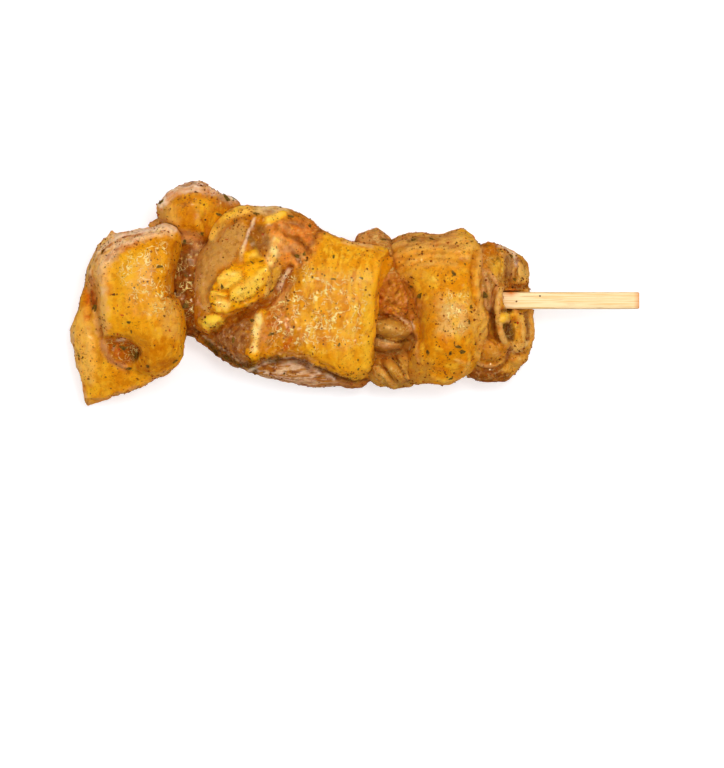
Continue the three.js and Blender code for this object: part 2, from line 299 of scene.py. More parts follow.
    def streaks(self, colour, along, pitch, amount, length=16, start=0.0):
        """Washes a colour over narrow streaks that run one way, as muscle fibres do."""
        spacing = np.full(3, float(pitch))
        spacing["xyz".index(along)] = length
        bent = self.points + 1.2 * noise(self.points / 8 + 5)[:, None]
        self.wash(colour, amount * blend_step(start, start + 0.35, layered_noise(bent / spacing + 9, 2)))

    def mottle(self, colour, pitch, amount, start=0.0, soft=0.5, offset=0.0):
        """Washes a colour over patches whose size is pitch."""
        patches = layered_noise(self.points / pitch + offset)
        self.wash(colour, amount * blend_step(start, start + soft, patches))

    def done(self, material):
        """Writes the colours into the mesh and sets the piece on the frame."""
        mesh = self.piece.data
        self.face()
        shade = mesh.attributes.new("paint", "FLOAT_COLOR", "POINT")
        full = np.column_stack([np.clip(self.colour, 0, 1), np.ones(len(self.colour))])
        shade.data.foreach_set("color", full.astype(np.float32).ravel())
        for name, values in (("wet", self.wet), ("fat", self.fat)):
            layer = mesh.attributes.new(name, "FLOAT", "POINT")
            layer.data.foreach_set("value", np.clip(values, 0, 1).astype(np.float32))
        make_active(self.piece)
        bpy.ops.object.shade_smooth()
        mesh.materials.clear()
        mesh.materials.append(material)
        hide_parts(self.node)
        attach(self.piece, "root")


# ---- Materials ----------------------------------------------------------------------------------
class Finish:
    """A material being mixed: its shader, and the nodes that feed it."""

    def __init__(self, name):
        self.material = bpy.data.materials.new(name)
        self.material.use_nodes = True
        self.tree = self.material.node_tree
        self.shader = self.tree.nodes["Principled BSDF"]
        self.place = self.tree.nodes.new("ShaderNodeTexCoord").outputs["Object"]

    def feed(self, socket, value):
        """Sets a socket, from another node's socket, a painted colour or a plain value."""
        if isinstance(value, bpy.types.NodeSocket):
            self.tree.links.new(value, socket)
        elif isinstance(value, np.ndarray):
            socket.default_value = (*value.tolist(), 1.0)
        else:
            socket.default_value = value

    def set(self, node, **inputs):
        """Feeds a node's sockets by name."""
        for key, value in inputs.items():
            self.feed(node.inputs[key.replace("_", " ")], value)
        return node

    def new(self, kind, **inputs):
        return self.set(self.tree.nodes.new(kind), **inputs)

    def layer(self, name, output="Fac"):
        """What the mesh holds under a name."""
        made = self.new("ShaderNodeAttribute")
        made.attribute_name = name
        return made.outputs[output]

    def math(self, operation, *terms):
        made = self.new("ShaderNodeMath")
        made.operation = operation
        for socket, term in zip(made.inputs, terms):
            self.feed(socket, term)
        return made.outputs["Value"]

    def times(self, a, b):
        return self.math("MULTIPLY", a, b)

    def plus(self, a, b):
        return self.math("ADD", a, b)

    def mix(self, share, a, b, kind="MIX"):
        """Colour a giving way to colour b by share."""
        made = self.new("ShaderNodeMix")
        made.data_type = "RGBA"
        made.blend_type = kind
        sockets = {socket.identifier: socket for socket in made.inputs}
        for key, value in (("Factor_Float", share), ("A_Color", a), ("B_Color", b)):
            self.feed(sockets[key], value)
        return next(socket for socket in made.outputs if socket.identifier == "Result_Color")

    def ramp(self, value, low, high):
        """value spread from 0 at low to 1 at high."""
        made = self.new("ShaderNodeMapRange", Value=value, From_Min=low, From_Max=high)
        made.interpolation_type = "SMOOTHSTEP"
        return made.outputs["Result"]

    def noise(self, pitch, detail=3.0, distortion=0.0):
        """Noise with lumps of pitch millimetres."""
        made = self.new("ShaderNodeTexNoise", Vector=self.place, Detail=detail, Distortion=distortion)
        return self.set(made, Scale=1 / (pitch * MM)).outputs["Fac"]

    def bump(self, height, distance, strength=1.0):
        made = self.new("ShaderNodeBump", Height=height, Distance=distance * MM, Strength=strength)
        return made.outputs["Normal"]


def film_glint_lines(finish, wet):
    """Thin curly lines where the oily film is drawn up over the wet skin; they carry its glints and are also
    painted pale as a highlight.
    """
    level = finish.math("ABSOLUTE", finish.math("SUBTRACT", finish.noise(2.0, 1.6, 0.9), 0.5))
    uneven = finish.plus(finish.noise(1.7, 1.0), 0.35)
    line = finish.ramp(finish.math("DIVIDE", level, uneven), 0.042, 0.012)
    broken = finish.ramp(finish.noise(2.9, 1.0), 0.41, 0.54)
    return finish.times(finish.times(line, broken), finish.ramp(wet, 0.45, 0.95))


def flesh_material():
    """Wet marinated meat: the painted colours, finer mottling and grains, and an oily film whose curly lines
    are also painted pale as highlights.
    """
    finish = Finish("marinated_meat")
    wet = finish.layer("wet")
    glint_lines = film_glint_lines(finish, wet)
    fine = finish.noise(0.5, 3.0, 1.2)
    shades = [  # where a shade shows, how strong it is, its colour, and how it is laid on
        (finish.ramp(finish.noise(1.8), 0.5, 0.72), 0.35, TURMERIC, "MULTIPLY"),
        (finish.ramp(finish.noise(0.9, 2.0, 0.6), 0.55, 0.72), 0.2, paint(250, 188, 24), "MIX"),
        (finish.ramp(fine, 0.56, 0.4), 0.14, paint(210, 140, 74), "MULTIPLY"),
        (finish.ramp(fine, 0.56, 0.68), 0.12, paint(255, 206, 40), "MIX"),
    ]
    thick = finish.ramp(finish.noise(6.0, 1.0), 0.3, 0.65)
    for pitch, low, amount, tint in (
        (0.42, 0.66, 0.8, RED_BROWN),
        (0.75, 0.62, 0.55, BURNT_ORANGE),
        (0.6, 0.66, 0.35, PALE_GOLD),
        (1.3, 0.62, 0.35, BROWN),
    ):
        flecks = finish.ramp(finish.noise(pitch, 1.5, 0.4), low, low + 0.07)
        shades.append((finish.times(flecks, thick), amount, tint, "MIX"))
    # Painted highlight: pale cream along the film's curly lines, besides their real gloss in the coat.
    shades.append((glint_lines, 0.9, paint(255, 230, 142), "MIX"))
    colour = finish.layer("paint", "Color")
    for share, amount, tint, kind in shades:
        colour = finish.mix(finish.times(share, amount), colour, tint, kind)

    skin = finish.plus(finish.times(fine, 0.03), finish.times(glint_lines, 0.2))
    film = finish.plus(glint_lines, finish.noise(1.4, 1.0, 0.7))
    spots = finish.plus(finish.ramp(finish.noise(1.1, 1.0, 1.0), 0.52, 0.6), 0.05)
    sheen = finish.times(finish.ramp(wet, -0.2, 1.0), finish.times(spots, 0.8))
    coat = finish.plus(glint_lines, sheen)
    coat.node.use_clamp = True
    finish.set(
        finish.shader,
        Base_Color=colour,
        Normal=finish.bump(skin, 0.5),
        Roughness=0.3,
        Specular_IOR_Level=0.08,
        Specular_Tint=(1.0, 0.7, 0.2, 1.0),
        Subsurface_Weight=finish.math("MULTIPLY_ADD", finish.layer("fat"), 0.25, 0.3),
        Subsurface_Radius=(1.0, 0.42, 0.14),
        Subsurface_Scale=0.6 * MM,
        Coat_Weight=coat,
        Coat_Normal=finish.bump(film, 0.3),
        Coat_Roughness=0.05,
        Coat_IOR=1.46,
    )
    return finish.material


def dried_material(name, colour, second, pitch=0.5):
    """Crumbled dry leaf or spice, in two shades, wetted by the marinade."""
    finish = Finish(name)
    shades = finish.mix(finish.ramp(finish.noise(pitch), 0.35, 0.65), colour, second)
    rough = finish.bump(finish.noise(0.3), 0.1, 0.6)
    finish.set(finish.shader, Base_Color=shades, Normal=rough, Roughness=0.7, Specular_IOR_Level=0.1)
    return finish.material


def wood_material():
    """Pale split wood with lengthwise grain, stained orange where the marinade has run along it."""
    finish = Finish("stick_wood")
    long_way = finish.new("ShaderNodeMapping", Vector=finish.place, Scale=(0.03, 1.0, 1.0))
    finish.place = long_way.outputs["Vector"]
    streaks = finish.ramp(finish.noise(0.5, 4.0), 0.42, 0.66)
    hairlines = finish.ramp(finish.noise(0.16, 2.0), 0.6, 0.72)
    colour = finish.mix(finish.times(streaks, 0.75), WOOD, WOOD_GRAIN)
    colour = finish.mix(finish.times(hairlines, 0.5), colour, paint(190, 128, 58))
    colour = finish.mix(finish.layer("stain"), colour, paint(226, 116, 10))
    finish.set(finish.shader, Base_Color=colour, Normal=finish.bump(streaks, 0.08, 0.5), Roughness=0.55)
    return finish.material


# ---- The pieces of meat -------------------------------------------------------------------------
def season(flesh, sauce_and_shade=AMBER, rim=PALE_TAN, rim_share=0.4, seam_shade=0.15):
    """What all the pieces share: the hollows and the joints between pieces are painted darker, partly
    marinade and partly painted shade, and sharp edges are painted pale, partly as a highlight.
    """
    hollow = flesh.hollowness()
    # Painted shade, with some marinade: the hollows are washed darker, the deepest ones darkest.
    flesh.wash(sauce_and_shade, 0.75 * blend_step(0.04, 0.4, hollow))
    flesh.wash(BURNT_ORANGE, 0.7 * blend_step(0.25, 0.8, hollow))
    # Partly a painted highlight: sharp outward edges are washed pale.
    flesh.wash(rim, rim_share * blend_step(0.15, 0.5, -hollow))
    # Painted shade: what faces down is washed darker.
    flesh.wash(AMBER, 0.3 * blend_step(0.0, -0.5, flesh.normals[:, 2]))
    # Painted shade where the pieces press together, darkest in the tightest joints.
    flesh.wash(BURNT_ORANGE, 0.5 * flesh.contact)
    flesh.wash(DARK_BROWN, seam_shade * blend_step(0.5, 1.0, flesh.contact))
    flesh.lumps(1.7, 0.22, 1 - flesh.upward)


def press_together(pieces, reach=3.0):
    """Closes the gaps between neighbours, as meat threaded tight on a stick, and marks where they touch."""
    trees = {piece: BVHTree.FromPolygons(piece.points.tolist(), piece.faces()) for piece in pieces}
    for piece in pieces:
        moves = np.zeros((len(piece.points), 3))
        contact = np.zeros((len(piece.points), 1))
        for other in pieces:
            if other is piece:
                continue
            low, high = other.points.min(0) - reach, other.points.max(0) + reach
            within = np.all((piece.points > low) & (piece.points < high), axis=1)
            for i in np.flatnonzero(within):
                spot = trees[other].find_nearest(piece.points[i], reach)[0]
                if spot is None:
                    continue
                gap = np.array(spot) - piece.points[i]
                length = np.linalg.norm(gap)
                facing = gap @ piece.normals[i] / (length + 1e-6)
                share = blend_step(reach, 0.45 * reach, length) * blend_step(0.1, 0.5, facing)
                if share > contact[i, 0]:
                    contact[i, 0] = share
                    moves[i] = gap * (0.5 + 0.2 / (length + 0.1)) * share
        piece.moves = piece.spread(moves, 6)
        piece.contact = piece.spread(contact, 6)[:, 0]
    for piece in pieces:
        piece.points += piece.moves
        piece.face()


def end_slab(flesh):
    """The broad end piece: a golden lobe lying on a pointed tail, its far edge in pale layers."""
    crease = [
        (-76.8, 7), (-75.4, 2), (-74.8, -3), (-73.6, -8), (-73.4, -13), (-72.2, -16), (-69, -18.6),
        (-65.6, -20.8),
    ]
    lobe = [
        (-72, 10), (-73, 3), (-72.8, -8), (-72.8, -13), (-70, -17.6), (-66, -19.4), (-60, -18), (-52, -14),
        (-50, -6), (-50.5, 0), (-52.5, 3), (-52, 10), (-51, 17), (-53, 21), (-62, 19), (-68, 16),
    ]
    pit = [
        (-72.6, -10.8), (-68, -10.4), (-64.4, -11.6), (-62.2, -14.4), (-63.6, -17.6), (-67, -18),
        (-70.4, -16.4), (-72.2, -13.4),
    ]
    tail = [(-83, -6), (-78, -2), (-75.4, -12), (-76.6, -24), (-81, -22)]
    inner_layer = [(-73.6, 8), (-71, 12.4), (-67, 15.8), (-61.6, 18), (-56, 19.2)]
    flesh.pull((-70.6, 19.8), 0.9, (0, 0.9, 0))
    flesh.push(0.25 * flesh.zone(lobe, 1.8))
    flesh.push(-1.5 * flesh.zone(pit, 1.2))
    flesh.lumps(1.5, 0.5, flesh.zone(pit, 1.2))
    flesh.carve([
        (crease, 0.5, -0.6),
        ([(-72.6, 12), (-72.3, 4), (-72.2, -4), (-72, -10)], 1.2, 0.15),
        ([(-73, -12), (-71.8, -15.6), (-69.6, -17.4), (-66, -19.2)], 0.9, 0.3),
        ([(-77.4, 3), (-76.4, -1), (-77, -5)], 1.0, -1.0),
        ([(-75.4, 11), (-71.6, 15.4), (-66, 18), (-60, 19.4), (-54, 20)], 0.5, -0.2),
        ([(-75, 15), (-70, 18.4), (-64, 19.8), (-57, 20.8), (-52, 20.6)], 0.6, 0.25),
        (inner_layer, 0.5, 0.4),
        ([(-72, 9), (-69, 13.4), (-65, 16), (-60, 17.4), (-55, 18.2)], 0.5, -0.25),
        ([(-54.6, 0.6), (-52.8, 1.6), (-51.4, 1.4)], 0.7, -0.7),
        ([(-54.4, -0.8), (-51.6, -0.6), (-50.8, -6)], 1.0, 0.4),
        ([(-78, -28), (-72, -27.4), (-66, -25.6), (-59, -22.6), (-53, -19.4)], 0.7, 0.5),
        ([(-77.4, -8), (-77, -16), (-76.4, -24)], 0.9, 0.35),
        ([(-75.6, -10), (-74.6, -18)], 0.8, -0.3),
    ])
    flesh.lumps(6, 0.35)
    flesh.fibres("y", 1.6, 0.11)
    flesh.lumps(3, 0.16)
    rim = flesh.zone([
        (-78, 8), (-75, 15), (-70, 20), (-62, 22), (-51, 22), (-52, 19.4), (-58, 18.6), (-66, 15.4),
        (-71.6, 9), (-72, -9), (-74, -9), (-75.4, -1),
    ], 1.6, 2.0)
    flesh.lumps(1.8, 0.25, rim)
    bright = flesh.zone([(-68, 8), (-64, 15), (-54, 17), (-53, 4), (-52, -4), (-58, -5), (-64, 0)], 2)
    flesh.wrinkles(2.2, 0.07, bright)
    flesh.wet = 0.4 + 0.6 * np.maximum(bright, 0.6 * flesh.zone(pit, 1.0))

    flesh.mottle(TURMERIC, 8, 0.7, -0.1)
    flesh.streaks(AMBER, "y", 2.0, 0.5)
    flesh.fill([
        (GOLDEN, 0.8, [(-72, 10), (-71, -9), (-64, -10), (-57, -6), (-58, 8), (-64, 15)], 2),
        (YELLOW, 0.7, [(-69, 12), (-68, 3), (-60, 3), (-58, 12), (-62, 15)], 2.5),
        (PALE_TAN, 0.6, [(-57, 0), (-51, 0), (-50.5, -11), (-55, -10)], 1.5),
        (AMBER, 0.6, [(-64, -9), (-56, -10), (-51, -13), (-55, -19), (-64, -21), (-70, -22)], 2),
        (TAN, 0.35, [(-81, 0), (-74, -6), (-73, -18), (-74, -25), (-79, -24), (-82, -12)], 2),
        (YELLOW, 0.5, [(-78.5, -16), (-75, -16), (-74, -26), (-78, -27)], 1.5),
        # Partly painted light: the tail's golden colour is painted lighter where it slopes away.
        (paint(250, 184, 76), 0.9, tail, 1.8),
    ])
    flesh.streaks(PALE_GOLD, "y", 1.4, 0.5, start=0.15)
    flesh.mottle(AMBER, 2.4, 0.45, 0.15, offset=12)
    flesh.mottle(PALE_GOLD, 1.5, 0.4, 0.2, offset=15)
    season(flesh, rim_share=0.35)
    x, y, _ = flesh.points.T
    flesh.spiced = 1 - 0.4 * rim - 0.4 * blend_step(-6, -10, y) * blend_step(-72, -76, x)
    # The far edge washed pale: partly its own pale layers, partly a painted reflection.
    flesh.wash(paint(252, 212, 156), 0.85 * rim)
    flesh.wash(paint(246, 182, 84), 0.8 * rim * blend_step(13, 6, y))
    # Painted light: the sloping tail is washed lighter again.
    flesh.wash(paint(250, 186, 74), 0.6 * flesh.zone(tail, 1.6))
    flesh.mottle(GOLDEN, 2.2, 0.6 * rim, 0.1, offset=51)
    flesh.mottle(CHALKY, 1.7, 0.35 * rim * blend_step(6, 12, y), offset=21)
    flesh.mottle(AMBER, 1.4, 0.5 * rim, 0.1, offset=24)
    flesh.mottle(RED_BROWN, 0.9, 0.5 * rim, 0.25, offset=27)
    flesh.mottle(BURNT_ORANGE, 2.4, 0.4 * rim, 0.15, offset=54)
    flesh.streaks(AMBER, "y", 1.2, 0.6 * rim * blend_step(10, 4, y), 6, start=0.0)
    flesh.streaks(PALE_TAN, "y", 1.0, 0.6 * rim * blend_step(12, 6, y), 6, start=0.15)
    flesh.dab([
        (PALE_TAN, 0.7, [(-79.5, 5), (-77.4, 10), (-74.5, 14)], 1.6),
        (PALE_TAN, 0.5, [(-76, 10), (-75.2, 5), (-74, 0), (-73.6, -6)], 0.9),
        # Partly a painted highlight: the pale line down the lobe's left edge.
        (PALE_TAN, 0.6, [(-72.6, 12), (-72.5, 4), (-72.4, -4), (-72, -9)], 1.0),
        (PINK_WHITE, 0.5, [(-72.8, 8), (-72.6, 2)], 0.6),
        (PINK_WHITE, 0.6, [(-76.6, 8), (-75.6, 5)], 0.8),
        (PINK_WHITE, 0.5, inner_layer, 0.7),
        # Partly a painted highlight: a chalky line along the top edge.
        (CHALKY, 0.8, [(-69, 19.2), (-64, 20.4), (-57, 21.2), (-52, 20.8)], 0.9),
        # Painted shadow: burnt orange just inside the raised far edge.
        (BURNT_ORANGE, 0.8, [(-74.6, 11.6), (-72.4, 14), (-70.4, 16.4)], 0.45),
        (BURNT_ORANGE, 0.8, [(-68.4, 17.4), (-65, 18.4), (-61, 19.2)], 0.4),
        (BURNT_ORANGE, 0.6, [(-71.4, 11.8), (-69, 14.2), (-66.4, 15.8)], 0.4),
        (AMBER, 0.8, [(-75.6, 8), (-74.8, 3), (-74.2, -3)], 0.5),
        (RED_BROWN, 0.5, [(-59, 19.6), (-55.6, 20)], 0.3),
        # Partly a painted highlight: a thin chalky line inside the top edge.
        (CHALKY, 0.5, [(-75.4, 12.8), (-72, 16), (-67, 18.8), (-60, 20.2)], 0.35),
        (ORANGE_RED, 0.4, [(-66, 14.6), (-63, 15.8)], 0.8),
        (AMBER, 0.7, [(-70.4, 20), (-66, 20.4)], 0.9),
        # Partly a painted highlight: the pale lip round the pit.
        (PINK_WHITE, 0.6, [(-73.2, -12), (-72, -15.6), (-69.8, -17.6), (-66.4, -19.4)], 0.6),
        (GREY_BROWN, 0.5, [(-72.8, -14.4), (-71, -17.2), (-68, -19)], 0.5),
        # Partly a painted highlight: the pale streaks down the tail.
        (PALE_TAN, 0.6, [(-77.4, -8), (-77, -16), (-76.4, -23)], 0.9),
        (PINK_WHITE, 0.5, [(-82.6, -8), (-82, -16), (-80, -23), (-79, -28)], 0.8),
        (PINK_TAN, 0.6, [(-78, -29.4), (-72, -28.2), (-66, -26.4), (-59, -23.2), (-53, -20)], 0.6),
        # Painted shade along the crease between the lobe and the tail.
        (BURNT_ORANGE, 0.65, crease, 0.6),
        (ORANGE_RED, 0.85, [(-77.2, 4), (-76.6, 0), (-77.4, -4)], 1.3),
        # Painted shade: red-brown down the crevice.
        (RED_BROWN, 0.7, [(-76.6, 3), (-76, 0), (-76.2, -4)], 0.5),
        # Painted shade in the crease under the lobe's lower right.
        (BURNT_ORANGE, 0.7, [(-62, -20), (-57, -19.6), (-53, -17.4)], 1.3),
        (ORANGE_RED, 0.5, [(-70, 3.4), (-70.2, 2)], 0.8),
        # Painted shade: amber, then burnt orange, down the lobe's rounded right edge.
        (AMBER, 0.7, [(-53, 16), (-53.4, 8), (-52.8, 2)], 1.8),
        (BURNT_ORANGE, 0.8, [(-51.4, 16), (-51.6, 8), (-51.4, 2)], 1.0),
    ])
    in_pit = flesh.zone(pit, 0.9)
    flesh.wash(BURNT_ORANGE, 0.8 * in_pit)
    flesh.mottle(ORANGE_RED, 1.6, 0.6 * in_pit)
    flesh.mottle(paint(220, 118, 46), 1.2, 0.7 * in_pit, 0.1, offset=3)
    flesh.dab([
        # Partly a painted highlight: the pink lip round the pit.
        (PINK_TAN, 0.5, [(-72.8, -11), (-72.2, -14.6), (-69.8, -17.4), (-66.4, -19)], 0.5),
        (BURNT_ORANGE, 0.7, [(-71.6, -12), (-70.6, -15.4), (-68, -17.6), (-65, -18.4)], 0.8),
        # Painted glints in the pit.
        (CHALKY, 0.8, [(-68.4, -11.4), (-66.8, -11.6)], 0.35),
        (CHALKY, 0.7, [(-69.6, -13), (-69.8, -14.6)], 0.3),
    ])
    herb_heap = [(-64.6, -13.4), (-61.4, -15.4), (-63, -17.6), (-65.4, -17)]
    flesh.wash(DARK_OLIVE, 0.7 * flesh.zone(herb_heap, 0.7, 2))


def nub(flesh):
    """The piece behind: a round amber lobe, and a dark wet flank that runs down between its neighbours."""
    flesh.carve([
        ([(-57, 27), (-53, 31.4), (-46, 33.4), (-40, 31.6)], 0.6, 0.5),
        ([(-56, 26), (-52.4, 29.8), (-46, 31.4), (-40.5, 29.9)], 0.5, -0.15),
        ([(-58.6, 22), (-55, 22.6), (-52, 21)], 0.8, -0.6),
        ([(-50, 17.6), (-46, 16.8), (-44, 15)], 0.7, 0.5),
        ([(-43.4, 24), (-43, 19), (-43.4, 15)], 0.6, -0.4),
        ([(-50, 17), (-48.8, 8), (-47.6, 0), (-47.4, -7)], 0.9, 0.5),
    ])
    flesh.lumps(4, 0.3)
    flank = blend_step(18.6, 16.4, flesh.points[:, 1] + 0.5 * noise(flesh.points / 1.4))
    flesh.fibres("y", 1.8, 0.08, 1 - flank)
    flesh.lumps(2.2, 0.25, flank)
    drops = np.maximum(flesh.near([(-50.4, 8), (-48.6, 3)], 1.2), flesh.near([(-46.6, 13), (-45.6, 10)], 1.0))
    flesh.wet = 0.3 + 0.4 * flank + 0.7 * drops

    flesh.wash(TURMERIC, 0.8)
    flesh.mottle(AMBER, 4, 0.7, -0.1)
    flesh.wash(AMBER, 0.6)
    flesh.mottle(paint(190, 126, 22), 3, 0.5, offset=6)
    flesh.streaks(AMBER, "y", 1.3, 0.5)
    flesh.mottle(BROWN, 1.2, 0.7, 0.2)
    flesh.streaks(YELLOW, "y", 1.2, 0.5, start=0.1)
    flesh.fill([
        (BROWN, 0.5, [(-58, 29), (-54.6, 29.6), (-53.6, 24), (-56, 22), (-58.6, 23)], 1.2),
        (YELLOW, 0.5, [(-47, 30), (-42, 29.6), (-42, 25.6), (-46, 26)], 1.2),
        (BROWN, 0.5, [(-40, 30.4), (-33.6, 30), (-35, 26.4), (-40, 26)], 1.0),
        (PALE_TAN, 0.5, [(-54, 24), (-50, 23.6), (-51, 20.6), (-55, 21.8)], 1.0),
        (PINK_TAN, 0.7, [(-52, 20.4), (-44.4, 19.6), (-44, 15.4), (-51, 16.6)], 0.9),
        (GREY_BROWN, 0.5, [(-58.6, 25.6), (-55.4, 26.6), (-54.6, 22.6), (-58.4, 22)], 1.0),
    ])
    season(flesh, seam_shade=0.6)
    flesh.fill([(PALE_TAN, 0.5, [(-59, 27), (-55, 29), (-51, 27), (-52, 22), (-57, 21)], 1.5)])
    flesh.dab([
        # Chalky along the top edge: partly pale skin, partly a painted highlight.
        (CHALKY, 0.9, [(-56.6, 28.8), (-53.4, 32.2), (-46, 34.2), (-40, 32.4), (-35, 30.4)], 1.7),
        (BROWN, 0.7, [(-50, 33.4), (-46, 33.8), (-43, 33.2)], 0.4),
        (AMBER, 0.6, [(-54.4, 30.4), (-51, 32), (-47, 32.6)], 0.35),
        # Partly a painted highlight: a second chalky line below the top edge.
        (CHALKY, 0.5, [(-54.6, 28), (-51, 30.8), (-46, 31.8), (-41, 30.4)], 0.4),
        (PINK_TAN, 0.7, [(-59, 21.8), (-56, 22.8)], 0.8),
        (BURNT_ORANGE, 0.7, [(-43.4, 24), (-42, 20), (-43.4, 17)], 1.1),
    ])
    # The flank washed dark red-brown: partly its own colour, partly painted shade where it lies deep between
    # its neighbours.
    flesh.wash(RED_BROWN, 0.95 * flank)
    flesh.mottle(BURNT_ORANGE, 2.0, 0.6 * flank, 0.05)
    flesh.mottle(DARK_BROWN, 1.6, 0.8 * flank, offset=5)
    flesh.mottle(PINK_TAN, 1.1, 0.5 * flank, 0.35)
    flesh.dab([
        (PINK_TAN, 0.6, [(-50.6, 18.4), (-47, 17.2), (-44.4, 15.4)], 0.8),
        (PINK_TAN, 0.5, [(-45.4, 15), (-46, 11)], 0.7),
        (AMBER, 0.5, [(-46, 4), (-46, -6)], 0.9),
        (RED_BROWN, 0.7, [(-48, 1), (-47.4, -7)], 1.8),
    ])


